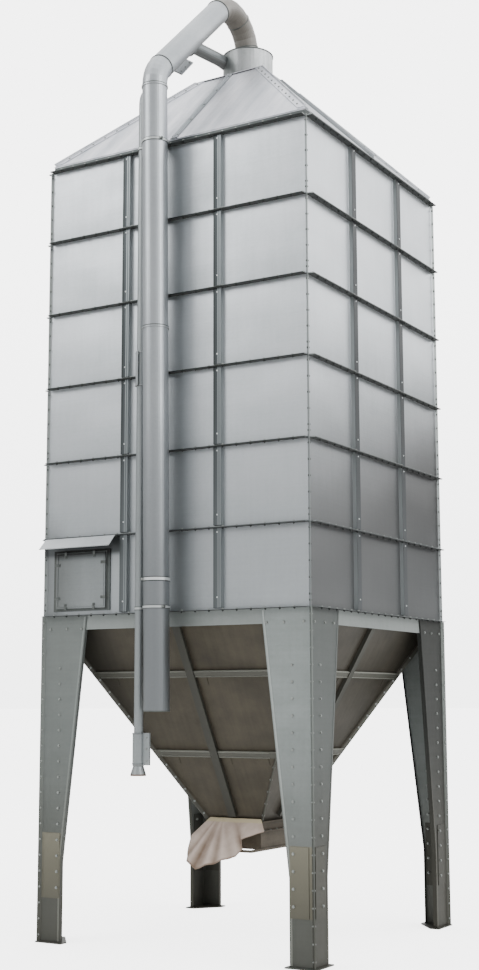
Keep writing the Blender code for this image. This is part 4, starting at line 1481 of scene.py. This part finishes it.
@dataclass
class Roof:
    """Roof fasteners, the collar's rim and joint strips, and the cap's bolts."""

    bolt: HexBolt = HexBolt(flats=0.016, head=0.006, washer=0.0115, washer_height=0.002)
    strip_face: float = 0.009
    hip_inset: float = 0.042
    hip_pitch: float = 0.152
    seam_inset: float = 0.023
    seam_pitch: float = 0.335
    cap_height: float = 9.0413
    cap_line: float = 0.360
    cap_half: float = 0.30
    collar_radius: float = 0.275
    strip_ends: Pair = (9.0518, 9.376)
    rims: tuple[Triple, ...] = ((0.012, 0.007, 9.384), (0.008, 0.008, 9.0458))
    hip_run: Pair = (0.09, 1.07)
    seam_run: Pair = (0.05, 1.06)
    strip_angles: tuple[float, ...] = (-66.0, 114.0)
    strip_sweep: float = 25.0

    def dress(self, finishes: Finishes) -> None:
        """Builds the roof's details.

        Args:
            finishes: The materials.
        """
        bolt = self.bolt.model()
        places = self.hip_places() + self.seam_places() + self.cap_places()
        settle("roof_bolts", copies("bolts", bolt, places), finishes.bolt)
        rims = [moved(turned_band(self.collar_radius - PLAN.sunk, width, proud, segments=64),
                      Matrix.Translation((0, 0, height))) for width, proud, height in self.rims]
        settle("collar_rims", joined("rims", rims), finishes.trim)
        strips = [self.collar_strip(angle) for angle in self.strip_angles]
        settle("collar_joint_strips", joined("strips", strips), finishes.collar)

    def slope(self, side: Side, x: float, run: float, lift: float) -> Matrix:
        """A seat on one roof slope.

        Args:
            side: The slope.
            x: Distance from its middle.
            run: Level distance in from the wall.
            lift: Height over the sheet.

        Returns:
            The seat, pointing away from the slope.
        """
        out = Vector((0, -1, 1)).normalized()
        point = Vector((x, -PLAN.half + run, PLAN.wall_top + PLAN.roof_upstand + run)) + out * lift
        return side.turn @ seat(point, out)

    def hip_places(self) -> list[Matrix]:
        """Places along both sides of every hip.

        Returns:
            The places.
        """
        places = []
        for side in Side:
            for run in steps(*self.hip_run, self.hip_pitch / ROOT_THREE):
                for sign in (-1, 1):
                    x = sign * (PLAN.half - run - self.hip_inset)
                    places.append(self.slope(side, x, run, self.strip_face))
        return places

    def seam_places(self) -> list[Matrix]:
        """Places along both sides of every slope's middle seam.

        Returns:
            The places.
        """
        places = []
        for side in Side:
            for run in steps(*self.seam_run, self.seam_pitch / ROOT_TWO):
                for sign in (-1, 1):
                    places.append(self.slope(side, sign * self.seam_inset, run, self.strip_face))
        return places

    def cap_places(self) -> list[Matrix]:
        """Places round the flat cap's edge.

        Returns:
            The places.
        """
        places = []
        for side in Side:
            for x in steps(-self.cap_half, self.cap_half, 0.2):
                places.append(side.turn @ seat((x, -self.cap_line, self.cap_height), (0, 0, 1)))
        return places

    def collar_strip(self, angle: float) -> Mesh:
        """A lapped joint strip on the collar, spun over a few degrees.

        Args:
            angle: Where it starts, in degrees round the axis.

        Returns:
            The strip's mesh.
        """
        low, high = self.strip_ends
        place = (self.collar_radius + 0.0015, 0, (low + high) / 2)
        strip = spun(place, (0.004, high - low), math.radians(self.strip_sweep), 6)
        return moved(strip, Matrix.Rotation(math.radians(angle), 4, "Z"))


@dataclass
class Hopper:
    """Hopper edge bolts, lips of the cross ribs, gusset plates and the outlet's flange bolts."""

    bolt: HexBolt = HexBolt(flats=0.016, head=0.006, washer=0.0115, washer_height=0.002)
    top_half: float = 1.44
    top: float = 3.150
    low_half: float = 0.29
    low: float = 1.140
    fin_middle: float = 0.024
    fin_face: float = 0.0052
    ribs: tuple[float, ...] = (2.60, 1.82)
    rib_width: float = 0.062
    rib_depth: float = 0.035
    spine_half: float = 0.0425
    lip: Triple = (0.004, 0.001, 0.006)
    edge_ends: Pair = (0.10, 0.14)
    flange_line: float = 0.310
    flange_top: float = 1.0483
    flange_half: float = 0.27
    flange_pitch: float = 0.135

    def frame_of(self, side: Side) -> Matrix:
        """The slope's own axes: X across, Y up the slope and Z out of it.

        Args:
            side: The slope.

        Returns:
            The axes, on the middle of its foot.
        """
        foot = Vector((0, -self.low_half, self.low))
        head = Vector((0, -self.top_half, self.top))
        up = (head - foot).normalized()
        across = Vector((1, 0, 0))
        axes = Matrix((across, up, across.cross(up))).transposed().to_4x4()
        return side.turn @ Matrix.Translation(foot) @ axes

    def rise(self, height: float) -> float:
        """How far up the slope a height lies."""
        length = math.hypot(self.top_half - self.low_half, self.top - self.low)
        return (height - self.low) / (self.top - self.low) * length

    def half_at(self, rise: float) -> float:
        """Half the slope's width at a distance up it."""
        length = self.rise(self.top)
        return self.low_half + (self.top_half - self.low_half) * rise / length

    def dress(self, finishes: Finishes) -> None:
        """Builds the hopper's details.

        Args:
            finishes: The materials.
        """
        bolt = self.bolt.model()
        places = self.edge_places() + self.outlet_places()
        settle("hopper_bolts", copies("bolts", bolt, places), finishes.bolt)
        lips, plates = [], []
        for side in Side:
            place = self.frame_of(side)
            for height in self.ribs:
                lips += self.rib_lips(place, self.rise(height))
                plates += self.gussets(place, self.rise(height))
        settle("hopper_rib_lips", joined("lips", lips), finishes.hopper)
        settle("hopper_gussets", joined("gussets", plates), finishes.hopper)

    def edge_places(self) -> list[Matrix]:
        """Places of the bolts through the four edge flanges, from both sides.

        Returns:
            The places.
        """
        places = []
        start = Vector((self.low_half, -self.low_half, self.low))
        end = Vector((self.top_half, -self.top_half, self.top))
        along = (end - start).normalized()
        across = Vector((1, 1, 0)).normalized()
        down = along.cross(across)
        if down.z > 0:
            down = -down
        length = (end - start).length
        for side in Side:
            for run in steps(self.edge_ends[0], length - self.edge_ends[1], PLAN.pitch):
                point = start + along * run + down * self.fin_middle
                places += [side.turn @ place for place in both_faces(point, across, self.fin_face)]
        return places

    def outlet_places(self) -> list[Matrix]:
        """Places of the bolts on the outlet's middle flange.

        Returns:
            The places.
        """
        row = steps(-self.flange_half, self.flange_half, self.flange_pitch)
        return [side.turn @ seat((x, -self.flange_line, self.flange_top), (0, 0, 1))
                for side in Side for x in row]

    def rib_lips(self, place: Matrix, rise: float) -> list[Mesh]:
        """The turned-out lips along a cross rib's two edges, left and right of the middle stiffener.

        Args:
            place: The slope's axes.
            rise: How far up the slope the rib lies.

        Returns:
            The lips' meshes.
        """
        lips = []
        half = self.half_at(rise) - 0.05
        thin, sunk, proud = self.lip
        for sign in (-1, 1):
            ends = sorted((sign * (self.spine_half + thin), sign * half))
            for edge in (-1, 1):
                middle = rise + edge * (self.rib_width / 2 - thin)
                lips.append(moved(bar((ends[0], middle - thin, self.rib_depth - sunk),
                                      (ends[1], middle + thin, self.rib_depth + proud), 0.0015), place))
        return lips

    def gussets(self, place: Matrix, rise: float) -> list[Mesh]:
        """Thin plates under a rib where it crosses the stiffener and where it meets the edges.

        Args:
            place: The slope's axes.
            rise: How far up the slope the rib lies.

        Returns:
            The plates' meshes.
        """
        plates = []
        half = self.half_at(rise) - 0.16
        top = rise - self.rib_width / 2
        for x, width in ((0.10, 0.11), (-0.10, 0.11), (half, 0.13), (-half, 0.13)):
            low, high = (x - width / 2, top - 0.10, -0.001), (x + width / 2, top - PLAN.sunk, 0.005)
            plates.append(moved(bar(low, high, 0.0015), place))
        return plates


@dataclass
class VentDuct:
    """Beads at the duct's joints, the mouth's rim and the clamps' bolts.

    Each clamp is the height, reach and direction in degrees of its lug. The first is the duct's own strap.
    """

    radius: float = 0.125
    stand: float = 1.745
    end_x: float = 0.002
    top_x: float = -0.065
    neck_x: float = -0.010
    end: float = 2.23
    bend_start: float = 8.40
    low_bend: float = 0.30
    high_bend: float = 0.365
    lead: float = 0.02
    incline_lead: float = 0.02
    bend_beads: tuple[Triple, ...] = (
        (136.0, 0.012, 0.007), (62.0, 0.010, 0.005), (14.0, 0.010, 0.005),
    )
    neck_joint: float = 9.397
    joints: Pair = (5.926, 8.406)
    bolt: HexBolt = HexBolt(flats=0.017, head=0.008, washer=0.011)
    clamps: tuple[Triple, ...] = (
        (3.466, 0.1330, -128.0), (PLAN.clamp_heights[0], 0.1313, -27.0),
        (PLAN.clamp_heights[1], 0.1313, -29.0),
    )
    lug_gap: float = 0.006
    lug_half: float = 0.0025
    lug_height: float = 0.013

    def x_at(self, height: float) -> float:
        """Where the leaning duct's axis is at a height."""
        return self.end_x + (self.top_x - self.end_x) * (height - self.end) / (self.bend_start - self.end)

    def high_centre(self) -> Pair:
        """Depth and height of the high bend's centre.

        Returns:
            The depth and the height.
        """
        share = 1 / ROOT_TWO
        low_y = -self.stand + self.low_bend * (1 - share)
        low_z = self.bend_start + self.lead + self.low_bend * share
        run = -self.high_bend * (1 + share) - low_y
        return -self.high_bend, low_z + run - self.high_bend * share

    def ring(self, x: float, y: float, z: float, axis: Sequence[float], width: float, proud: float) -> Mesh:
        """A bead round the duct.

        Args:
            x: The duct's axis there.
            y: Its depth.
            z: Its height.
            axis: The duct's direction there.
            width: The bead's width.
            proud: How far it stands out.

        Returns:
            The bead's mesh.
        """
        return moved(turned_band(self.radius - PLAN.sunk, width, proud), seat((x, y, z), axis, (1, 0, 0)))

    def bend_ring(self, angle: float, width: float, proud: float) -> Mesh:
        """A bead on the high bend.

        Args:
            angle: Its place in degrees from the neck.
            width: The bead's width.
            proud: How far it stands out.

        Returns:
            The bead's mesh.
        """
        y, z = self.high_centre()
        turn = math.radians(angle)
        y += self.high_bend * math.cos(turn)
        z += self.high_bend * math.sin(turn)
        return self.ring(self.neck_x, y, z, (0, -math.sin(turn), math.cos(turn)), width, proud)

    def dress(self, finishes: Finishes) -> None:
        """Builds the duct's details.

        Args:
            finishes: The materials.
        """
        share = 1 / ROOT_TWO
        low_y = -self.stand + self.low_bend * (1 - share) + self.incline_lead
        low_z = self.bend_start + self.lead + self.low_bend * share + self.incline_lead
        low_x = self.top_x + (self.neck_x - self.top_x) * 0.02
        up = (0, 0, 1)
        rings = [self.ring(low_x, low_y, low_z, (0, 1, 1), 0.012, 0.006)]
        rings += [self.bend_ring(*bead) for bead in self.bend_beads]
        rings.append(self.ring(self.x_at(self.end + 0.004), -self.stand, self.end + 0.005, up, 0.010, 0.003))
        rings.append(self.ring(self.neck_x, 0.0, self.neck_joint, up, 0.012, 0.006))
        rings += [self.ring(self.x_at(joint), -self.stand, joint, up, 0.009, 0.006) for joint in self.joints]
        settle("duct_beads", joined("beads", rings), finishes.trim)
        bolt = self.bolt.model()
        settle("clamp_bolts", copies("bolts", bolt, self.clamp_places()), finishes.bolt)
        settle("clamp_lugs", joined("lugs", self.clamp_lugs()), finishes.trim)

    def clamp_places(self) -> list[Matrix]:
        """Places of the clamps' bolts, across their lugs.

        Returns:
            The places.
        """
        places = []
        for height, reach, angle in self.clamps:
            out = Vector((math.cos(math.radians(angle)), math.sin(math.radians(angle)), 0))
            point = Vector((self.x_at(height), -self.stand, height)) + out * (reach + 0.012)
            places += both_faces(point, Vector((-out.y, out.x, 0)), self.lug_gap + self.lug_half)
        return places

    def clamp_lugs(self) -> list[Mesh]:
        """The clamps' paired lugs.

        Returns:
            The lugs' meshes.
        """
        lugs = []
        for height, reach, angle in self.clamps:
            turn = Matrix.Rotation(math.radians(angle), 4, "Z")
            place = Matrix.Translation((self.x_at(height), -self.stand, height)) @ turn
            for middle in (-self.lug_gap, self.lug_gap):
                low = (reach - 0.003, middle - self.lug_half, -self.lug_height)
                high = (reach + 0.024, middle + self.lug_half, self.lug_height)
                lugs.append(moved(bar(low, high, 0.0012), place))
        return lugs


@dataclass
class FillPipe:
    """Bolts of the fill pipe's sleeve and coupling, their rims, and the coupling on the slope."""

    x: float = -0.265
    stand: float = 1.65
    radius: float = 0.0445
    sleeve: float = 0.057
    sleeve_rows: tuple[float, ...] = (5.405, 5.500, 5.600, 5.695)
    inlet_rows: tuple[float, ...] = (1.775, 1.880, 1.985)
    slope_rows: tuple[float, ...] = (-0.11, 0.0, 0.11)
    rims: tuple[float, ...] = (5.385, 5.715, 2.022, 1.742)
    lug_half: float = 0.010
    sleeve_reach: float = 0.0675
    inlet_reach: float = 0.098
    bolt: HexBolt = HexBolt(flats=0.013, head=0.0055, washer=0.0085, washer_height=0.0015)
    slope_middle: Pair = (-1.07, 8.97)
    slope_length: float = 0.31
    slope_reach: float = 0.150
    slope_lug: float = 0.008
    slope_turn: float = 40.0

    def dress(self, finishes: Finishes) -> None:
        """Builds the fill pipe's details.

        Args:
            finishes: The materials.
        """
        bolt = self.bolt.model()
        places = self.sleeve_places() + self.inlet_places() + self.slope_places()
        settle("pipe_coupling_bolts", copies("bolts", bolt, places), finishes.bolt)
        rims = [moved(turned_band(self.sleeve - PLAN.sunk, 0.010, 0.0045, segments=32),
                      Matrix.Translation((self.x, -self.stand, height))) for height in self.rims]
        settle("pipe_coupling_rims", joined("rims", rims), finishes.duct)
        settle("pipe_slope_coupling", self.slope_coupling(), finishes.duct)

    def sleeve_places(self) -> list[Matrix]:
        """Places on both sides of the sleeve's lug.

        Returns:
            The places.
        """
        places = []
        for height in self.sleeve_rows:
            point = Vector((self.x, -self.stand - self.sleeve_reach, height))
            places += both_faces(point, Vector((1, 0, 0)), self.lug_half)
        return places

    def inlet_places(self) -> list[Matrix]:
        """Places on both sides of the inlet coupling's lug.

        Returns:
            The places.
        """
        places = []
        for height in self.inlet_rows:
            point = Vector((self.x + self.inlet_reach, -self.stand, height))
            places += both_faces(point, Vector((0, 1, 0)), self.lug_half)
        return places

    def slope_frame(self) -> Matrix:
        """The axes of the coupling on the slope: Z up the pipe, X to the right.

        Returns:
            The axes.
        """
        along = Vector((0, 1, 1)).normalized()
        across = Vector((1, 0, 0))
        axes = Matrix((across, along.cross(across), along)).transposed().to_4x4()
        turn = Matrix.Rotation(math.radians(self.slope_turn), 4, "Z")
        return Matrix.Translation((self.x, *self.slope_middle)) @ axes @ turn

    def slope_places(self) -> list[Matrix]:
        """Places on both sides of the slope coupling's lug.

        Returns:
            The places.
        """
        frame = self.slope_frame()
        places = []
        for run in self.slope_rows:
            point = Vector((self.slope_reach - 0.03, 0, run))
            places += [frame @ place for place in both_faces(point, Vector((0, 1, 0)), self.slope_lug)]
        return places

    def slope_coupling(self) -> Mesh:
        """The bolted coupling on the pipe's slope, with its lug on its right.

        Returns:
            The coupling's mesh.
        """
        clear, thick = self.radius + PLAN.sunk, self.sleeve - self.radius
        shell = turned_band(clear, self.slope_length, thick, segments=32, edge=0.2)
        half, end = self.slope_lug, self.slope_length / 2
        lug = bar((self.sleeve - 0.004, -half, -end), (self.slope_reach, half, end), 0.002)
        return moved(joined("coupling", [shell, lug]), self.slope_frame())


@dataclass
class Hatch:
    """The hatch's bolts and clips, the cover's pressed rim, the gasket and the canopy's rolled hem."""

    cover_low: Pair = (-1.364, 3.241)
    cover_high: Pair = (-0.760, 3.793)
    cover_face: float = 1.5343
    frame_face: float = 1.512
    rim_inset: float = 0.014
    rim_width: float = 0.010
    rim_proud: float = 0.005
    gasket_reach: float = 0.010
    gasket_proud: float = 0.006
    clip_back: float = 0.016
    clip_tip: float = 0.046
    clip_half: float = 0.014
    clip_proud: float = 0.0075
    bolt: HexBolt = HexBolt(flats=0.017, head=0.009, washer=0.013, stub=0.005)
    bolt_places: Line = (
        (-1.245, 3.760), (-0.895, 3.760), (-0.797, 3.690), (-0.797, 3.345),
        (-1.330, 3.680), (-1.330, 3.345), (-1.245, 3.274), (-0.895, 3.274),
    )
    rivet: DomeRivet = DomeRivet()
    canopy: Pair = (-1.48, -0.62)
    hem_line: Pair = (-1.671, 3.8405)
    rivet_line: Pair = (-1.5785, 3.9345)
    rivet_inset: float = 0.05
    rivet_pitch: float = 0.19

    def dress(self, finishes: Finishes) -> None:
        """Builds the hatch's details.

        Args:
            finishes: The materials.
        """
        bolt = self.bolt.model()
        places = [seat((x, -self.cover_face, z), (0, -1, 0)) for x, z in self.bolt_places]
        settle("hatch_bolts", copies("bolts", bolt, places), finishes.trim)
        settle("hatch_clips", joined("clips", self.clips()), finishes.trim)
        low, high = self.cover_low, self.cover_high
        rim = self.frame_of_bars(low, high, self.rim_inset, self.cover_face, self.rim_proud)
        settle("hatch_cover_rim", rim, finishes.hatch)
        gasket = self.frame_of_bars(low, high, -self.gasket_reach, self.frame_face, self.gasket_proud)
        settle("hatch_gasket", gasket, finishes.trim)
        settle("canopy_hem", self.canopy_hem(), finishes.canopy)

    def frame_of_bars(self, low: Pair, high: Pair, inset: float, face: float, proud: float) -> Mesh:
        """Four bars round a rectangle on the front, butted at the corners.

        Args:
            low: Lowest corner, across and up.
            high: Highest corner.
            inset: How far inside the rectangle the bars lie.
            face: How far in front of the silo's axis they stand.
            proud: How far they stand out.

        Returns:
            The bars' mesh.
        """
        left, bottom = low[0] + inset, low[1] + inset
        right, top = high[0] - inset, high[1] - inset
        width = self.rim_width
        back, front = -face + 0.001, -face - proud
        boxes = [
            ((left, bottom), (right, bottom + width)),
            ((left, top - width), (right, top)),
            ((left, bottom + width), (left + width, top - width)),
            ((right - width, bottom + width), (right, top - width)),
        ]
        return joined("bars", [bar((a[0], front, a[1]), (b[0], back, b[1]), 0.0015) for a, b in boxes])

    def clips(self) -> list[Mesh]:
        """The small clamp plates under the hatch's bolts, each with its tip away from the cover's middle.

        Returns:
            The plates' meshes.
        """
        half = [(high - low) / 2 for low, high in zip(self.cover_low, self.cover_high)]
        middle = [(high + low) / 2 for low, high in zip(self.cover_low, self.cover_high)]
        front, back = -self.cover_face - self.clip_proud, -self.cover_face + PLAN.sunk
        plates = []
        for spot in self.bolt_places:
            shift = [value - centre for value, centre in zip(spot, middle)]
            axis = int(abs(shift[1]) / half[1] > abs(shift[0]) / half[0])
            low = [value - self.clip_half for value in spot]
            high = [value + self.clip_half for value in spot]
            low[axis] = spot[axis] - (self.clip_tip if shift[axis] < 0 else self.clip_back)
            high[axis] = spot[axis] + (self.clip_tip if shift[axis] > 0 else self.clip_back)
            plates.append(bar((low[0], front, low[1]), (high[0], back, high[1]), 0.0015))
        return plates

    def canopy_hem(self) -> Mesh:
        """The rolled hem along the canopy's lower edge, and the rivets over it.

        Returns:
            The hem's mesh.
        """
        left, right = self.canopy
        middle = ((left + right) / 2, *self.hem_line)
        deselect()
        bpy.ops.mesh.primitive_cylinder_add(vertices=12, radius=0.005, depth=right - left, location=middle,
                                            rotation=(0, math.pi / 2, 0))
        roll = bpy.context.active_object
        bpy.ops.object.transform_apply(location=True, rotation=True, scale=True)
        open_edit(roll)
        pick_faces(roll, lambda middle, normal: abs(normal.x) > 0.9)
        bpy.ops.mesh.inset(thickness=0.0015)
        close_edit()
        rolled = taken_mesh(roll)
        out = Vector((0, -1, 1)).normalized()
        row = steps(left + self.rivet_inset, right - self.rivet_inset, self.rivet_pitch)
        places = [seat(Vector((x, *self.rivet_line)) + out * 0.0002, out) for x in row]
        return joined("hem", [rolled, copies("rivets", self.rivet.model(), places)])


@dataclass
class OutletCloth:
    """The canvas sleeve that hangs open from the outlet's front edge.

    It leans on the outlet's upper flange and on the rim. The flat cloth is a fan: each column runs
    from the gathered top edge down to the free edge. The cut is stated from the fan's outline, 0.82 m
    wide and 0.58 m long down the slope, with 5 % more width for the folds, and the outline fills
    67.9 % of its box. The built cloth's area is only logged beside it.
    """

    top: float = 1.165
    low: float = 0.675
    thickness: float = 0.040
    gap: float = 0.0003
    flange_edge: Pair = (0.335, 1.1397)
    rim_edge: Pair = (0.500, 0.875)
    fan: float = 0.56
    upper_edge: Line = ((0.0, -0.27), (0.10, -0.20), (0.60, -0.10), (1.0, 0.32))
    free_edge: Line = (
        (-0.425, 0.36), (-0.415, 0.16), (-0.385, 0.075), (-0.27, 0.005), (-0.05, 0.080), (0.165, 0.155),
        (0.200, 0.245), (0.160, 0.330), (0.280, 0.380), (0.395, 0.430),
    )
    folds: Line = (
        (0.0, 0.1), (0.08, 0.7), (0.16, -0.4), (0.23, 0.9), (0.29, -1.0), (0.34, -0.8), (0.41, 0.8),
        (0.47, -0.5), (0.55, 0.9), (0.62, 0.2), (0.68, 0.7), (0.735, -0.9), (0.80, 0.3), (0.90, 0.6),
        (1.0, 0.0),
    )
    depth: float = 0.019
    sheet: float = 0.0022
    columns: int = 96
    rows: int = 44
    cut: Pair = (0.86, 0.58)
    cut_area: float = 0.338

    def reach(self, height: float) -> float:
        """How far in front of the axis the cloth's middle plane lies at a height.

        Args:
            height: The height.

        Returns:
            The distance.
        """
        (near, high), (far, low) = self.flange_edge, self.rim_edge
        lean = (far - near) / (high - low)
        clear = (self.thickness / 2 + self.gap) * math.sqrt(1 + lean * lean)
        return near + lean * (high - height) + clear

    def along(self, line: Sequence[Pair], share: float) -> Pair:
        """A point on an edge.

        Args:
            line: The edge's points.
            share: How far along its length.

        Returns:
            The point.
        """
        lengths = [math.dist(a, b) for a, b in zip(line, line[1:])]
        rest = share * sum(lengths)
        for (a, b), length in zip(zip(line, line[1:]), lengths):
            if rest <= length:
                t = rest / length
                return a[0] + (b[0] - a[0]) * t, a[1] + (b[1] - a[1]) * t
            rest -= length
        return line[-1]

    def fold(self, share: float, down: float) -> float:
        """Depth of the folds, from -1 to 1.

        Args:
            share: The share across the cloth.
            down: The share down it.

        Returns:
            The depth.
        """
        value = self.height_at(self.folds, share)
        ripple = 0.15 * math.sin(share * 61.0) * down
        return (value * min(1.0, 0.10 + 1.2 * down) + ripple) / 1.15

    def height_at(self, line: Sequence[Pair], share: float) -> float:
        """The height of a line of points, rounded between them.

        Args:
            line: The points, as shares and heights.
            share: Where it is wanted.

        Returns:
            The height.
        """
        for (a, low), (b, high) in zip(line, line[1:]):
            if share <= b:
                t = (share - a) / (b - a)
                t = 0.5 * t + 0.5 * t * t * (3 - 2 * t)
                return low + (high - low) * t
        return line[-1][1]

    def build(self, finishes: Finishes) -> None:
        """Args:
            finishes: The materials.
        """
        foot = Vector((0, -self.reach(self.low), self.low))
        head = Vector((0, -self.reach(self.top), self.top))
        up = (head - foot).normalized()
        across = Vector((1, 0, 0))
        out = across.cross(up)
        length = (head - foot).length
        shape = bmesh.new()
        flat = shape.loops.layers.uv.new("flat")
        # Fold depth, kept for the painted shade and light of the folds.
        fold_shade = shape.verts.layers.float.new("fold")
        grid, spots = [], []
        for i in range(self.columns + 1):
            share = i / self.columns
            start, end = (self.height_at(self.upper_edge, share), self.fan), self.along(self.free_edge, share)
            column, spot = [], []
            for j in range(self.rows + 1):
                down = j / self.rows
                x = start[0] + (end[0] - start[0]) * down
                s = start[1] + (end[1] - start[1]) * down
                depth = self.fold(share, down)
                height = min(s / self.fan, 1.0) * length
                point = foot + across * x + up * height + out * (depth * self.depth)
                vert = shape.verts.new(point)
                vert[fold_shade] = (0.5 + 0.5 * depth) * (0.25 if self.rows - j < 2 else 1.0)
                column.append(vert)
                spot.append((x, self.fan - s))
            grid.append(column)
            spots.append(spot)
        for i in range(self.columns):
            for j in range(self.rows):
                corners = ((i, j), (i, j + 1), (i + 1, j + 1), (i + 1, j))
                face = shape.faces.new([grid[a][b] for a, b in corners])
                for loop, (a, b) in zip(face.loops, corners):
                    loop[flat].uv = spots[a][b]
        shape.normal_update()
        area = sum(face.calc_area() for face in shape.faces)
        mesh = bpy.data.meshes.new("cloth")
        shape.to_mesh(mesh)
        shape.free()
        cloth = settle("outlet_canvas", mesh, finishes.canvas, smooth=180.0)
        shell = cloth.modifiers.new("cloth", "SOLIDIFY")
        shell.thickness = self.sheet
        shell.offset = 0
        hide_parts("outlet_cloth")
        LOG.info("canvas: %.3f square metres built, %.3f cut", area, self.cut_area)


@dataclass
class Studio:
    """Pale floor, soft light and the photograph's camera."""

    place: Triple = (7.5891, -12.9243, 2.3119)
    pitch: float = 98.520
    roll: float = 0.055
    yaw: float = 31.098
    lens: float = 53.507
    shift: Pair = (0.01452, 0.00172)
    dark_side: Pair = (0.515, 0.857)
    front: Line = (
        (0.0, 0.40), (0.12, 0.56), (0.36, 0.92), (0.62, 1.25), (0.85, 2.7), (1.0, 2.9),
    )
    rear: Line = (
        (0.06, 0.14), (0.13, 0.22), (0.20, 1.40), (0.27, 3.10), (0.70, 2.5), (1.0, 2.9),
    )
    backdrop: Line = ((0.0, 4.6), (0.30, 5.5))
    floor_glow: float = 3.2

    def build(self) -> None:
        """Builds the studio."""
        self.camera()
        self.floor()
        self.sky()
        self.light("key", (-9.0, -12.0, 14.0), (0.0, 0.0, 6.0), 8.0, 900.0)
        self.light("side", (14.0, -2.0, 12.0), (0.0, 0.0, 6.0), 8.0, 700.0)

    def camera(self) -> None:
        """Sets the camera at the photograph's place."""
        data = bpy.data.cameras.new("camera")
        data.lens = self.lens
        data.sensor_width = 36.0
        data.shift_x, data.shift_y = self.shift
        data.clip_end = 900.0
        camera = bpy.data.objects.new("camera", data)
        camera.location = self.place
        camera.rotation_euler = [math.radians(v) for v in (self.pitch, self.roll, self.yaw)]
        bpy.context.scene.collection.objects.link(camera)
        bpy.context.scene.camera = camera

    def floor(self) -> None:
        """Lays a wide pale floor."""
        deselect()
        place = (0, 200, -PLAN.sunk)
        bpy.ops.mesh.primitive_grid_add(x_subdivisions=8, y_subdivisions=8, size=700, location=place)
        ground = bpy.context.active_object
        ground.name = "studio_floor"
        material = bpy.data.materials.new("painted_screed")
        graph = Graph(material)
        place = graph.add("TexCoord", out="Object")
        grain = graph.add("TexNoise", {"Vector": place, "Scale": 0.6, "Detail": 3.0})
        colour = graph.add("Mix", {0: grain, 6: srgb("#F0F0EF"), 7: srgb("#F6F6F5")}, 2, data_type="RGBA")
        paint = graph.add("BsdfPrincipled", {"Base Color": colour, "Roughness": 0.9})
        seen = graph.add("LightPath", out="Is Camera Ray")
        strength = graph.add("Math", {0: seen, 1: self.floor_glow}, operation="MULTIPLY")
        glow = graph.add("Emission", {"Strength": strength})
        graph.add("OutputMaterial", {"Surface": graph.add("AddShader", {0: paint, 1: glow})})
        ground.data.materials.append(material)

    def sky(self) -> None:
        """Gives soft light that brightens with height and is dark low at the right rear."""
        world = bpy.data.worlds.new("studio")
        bpy.context.scene.world = world
        graph = Graph(world)
        way = graph.add("TexCoord", out="Generated")
        rise = graph.add("SeparateXYZ", {0: way}, "Z")
        inputs = {0: way, 1: (*self.dark_side, 0.0)}
        heading = graph.add("VectorMath", inputs, "Value", operation="DOT_PRODUCT")
        side = {"Value": heading, "From Min": -0.45, "From Max": 0.60}
        side = graph.add("MapRange", side, interpolation_type="SMOOTHSTEP")
        parts = (self.front, self.rear, self.backdrop)
        front, rear, seen = (self.scale(graph, rise, stops) for stops in parts)
        soft = graph.add("Mix", {0: side, 6: front, 7: rear}, 2, data_type="RGBA")
        soft = graph.add("Background", {0: soft, 1: 1.0})
        seen = graph.add("Background", {0: seen, 1: 1.0})
        direct = graph.add("LightPath", out="Is Camera Ray")
        graph.add("OutputWorld", {"Surface": graph.add("MixShader", {0: direct, 1: soft, 2: seen})})

    def scale(self, graph: Graph, rise: Socket, stops: Sequence[Pair]) -> Socket:
        """A brightness that follows the height of a direction.

        Args:
            graph: The world's graph.
            rise: The direction's height, from 0 level to 1 straight up.
            stops: Height and brightness pairs, of which the first and last hold beyond their ends.

        Returns:
            The brightness.
        """
        value = stops[0][1]
        for (low, a), (high, b) in zip(stops, stops[1:]):
            share = graph.add("MapRange", {"Value": rise, "From Min": low, "From Max": high})
            value = graph.add("Math", {0: share, 1: b - a, 2: value}, operation="MULTIPLY_ADD")
        return value

    def light(self, name: str, place: Sequence[float], aim: Sequence[float], size: float,
              power: float) -> None:
        """Adds a wide soft light.

        Args:
            name: The light's name.
            place: Where it hangs.
            aim: What it points at.
            size: Its side.
            power: Its power in watts.
        """
        data = bpy.data.lights.new(name, "AREA")
        data.size = size
        data.energy = power
        lamp = bpy.data.objects.new(name, data)
        lamp.matrix_world = seat(place, Vector(place) - Vector(aim))
        bpy.context.scene.collection.objects.link(lamp)


def finish_nodes(nodes: dict[str, Piece], finishes: Finishes) -> None:
    """Gives each node of the frame its finish, on its own slots.

    Args:
        nodes: The frame's nodes by name.
        finishes: The materials.
    """
    groups = (
        (("front_panel", "right_panel", "back_panel", "left_panel"), finishes.wall),
        (("hatch_cover",), finishes.hatch),
        (("hatch_frame",), finishes.hatch_frame),
        (("hatch_canopy",), finishes.canopy),
        (("roof_",), finishes.roof),
        (("collar",), finishes.collar),
        (("leg_",), finishes.frame),
        (("ring_beam",), finishes.ring),
        (("hopper_",), finishes.hopper),
        (("outlet_chute",), finishes.chute),
        (("duct_lower", "duct_upper", "duct_incline"), finishes.duct),
        (("duct_bend",), finishes.bend),
        (("pipe_clamp",), finishes.clamp),
        (("fill_",), finishes.pipe),
    )
    for name, node in nodes.items():
        for starts, material in groups:
            if name.startswith(starts):
                for slot in node.material_slots:
                    slot.material = material


def main() -> None:
    """Builds the dressed silo."""
    logging.basicConfig(level=logging.INFO, format="%(message)s")
    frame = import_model()
    finishes = Finishes()
    finish_nodes(frame["nodes"], finishes)
    Studio().build()
    Walls().dress(finishes)
    Legs().dress(finishes)
    Roof().dress(finishes)
    Hopper().dress(finishes)
    VentDuct().dress(finishes)
    FillPipe().dress(finishes)
    Hatch().dress(finishes)
    OutletCloth().build(finishes)


if __name__ == "__main__":
    main()
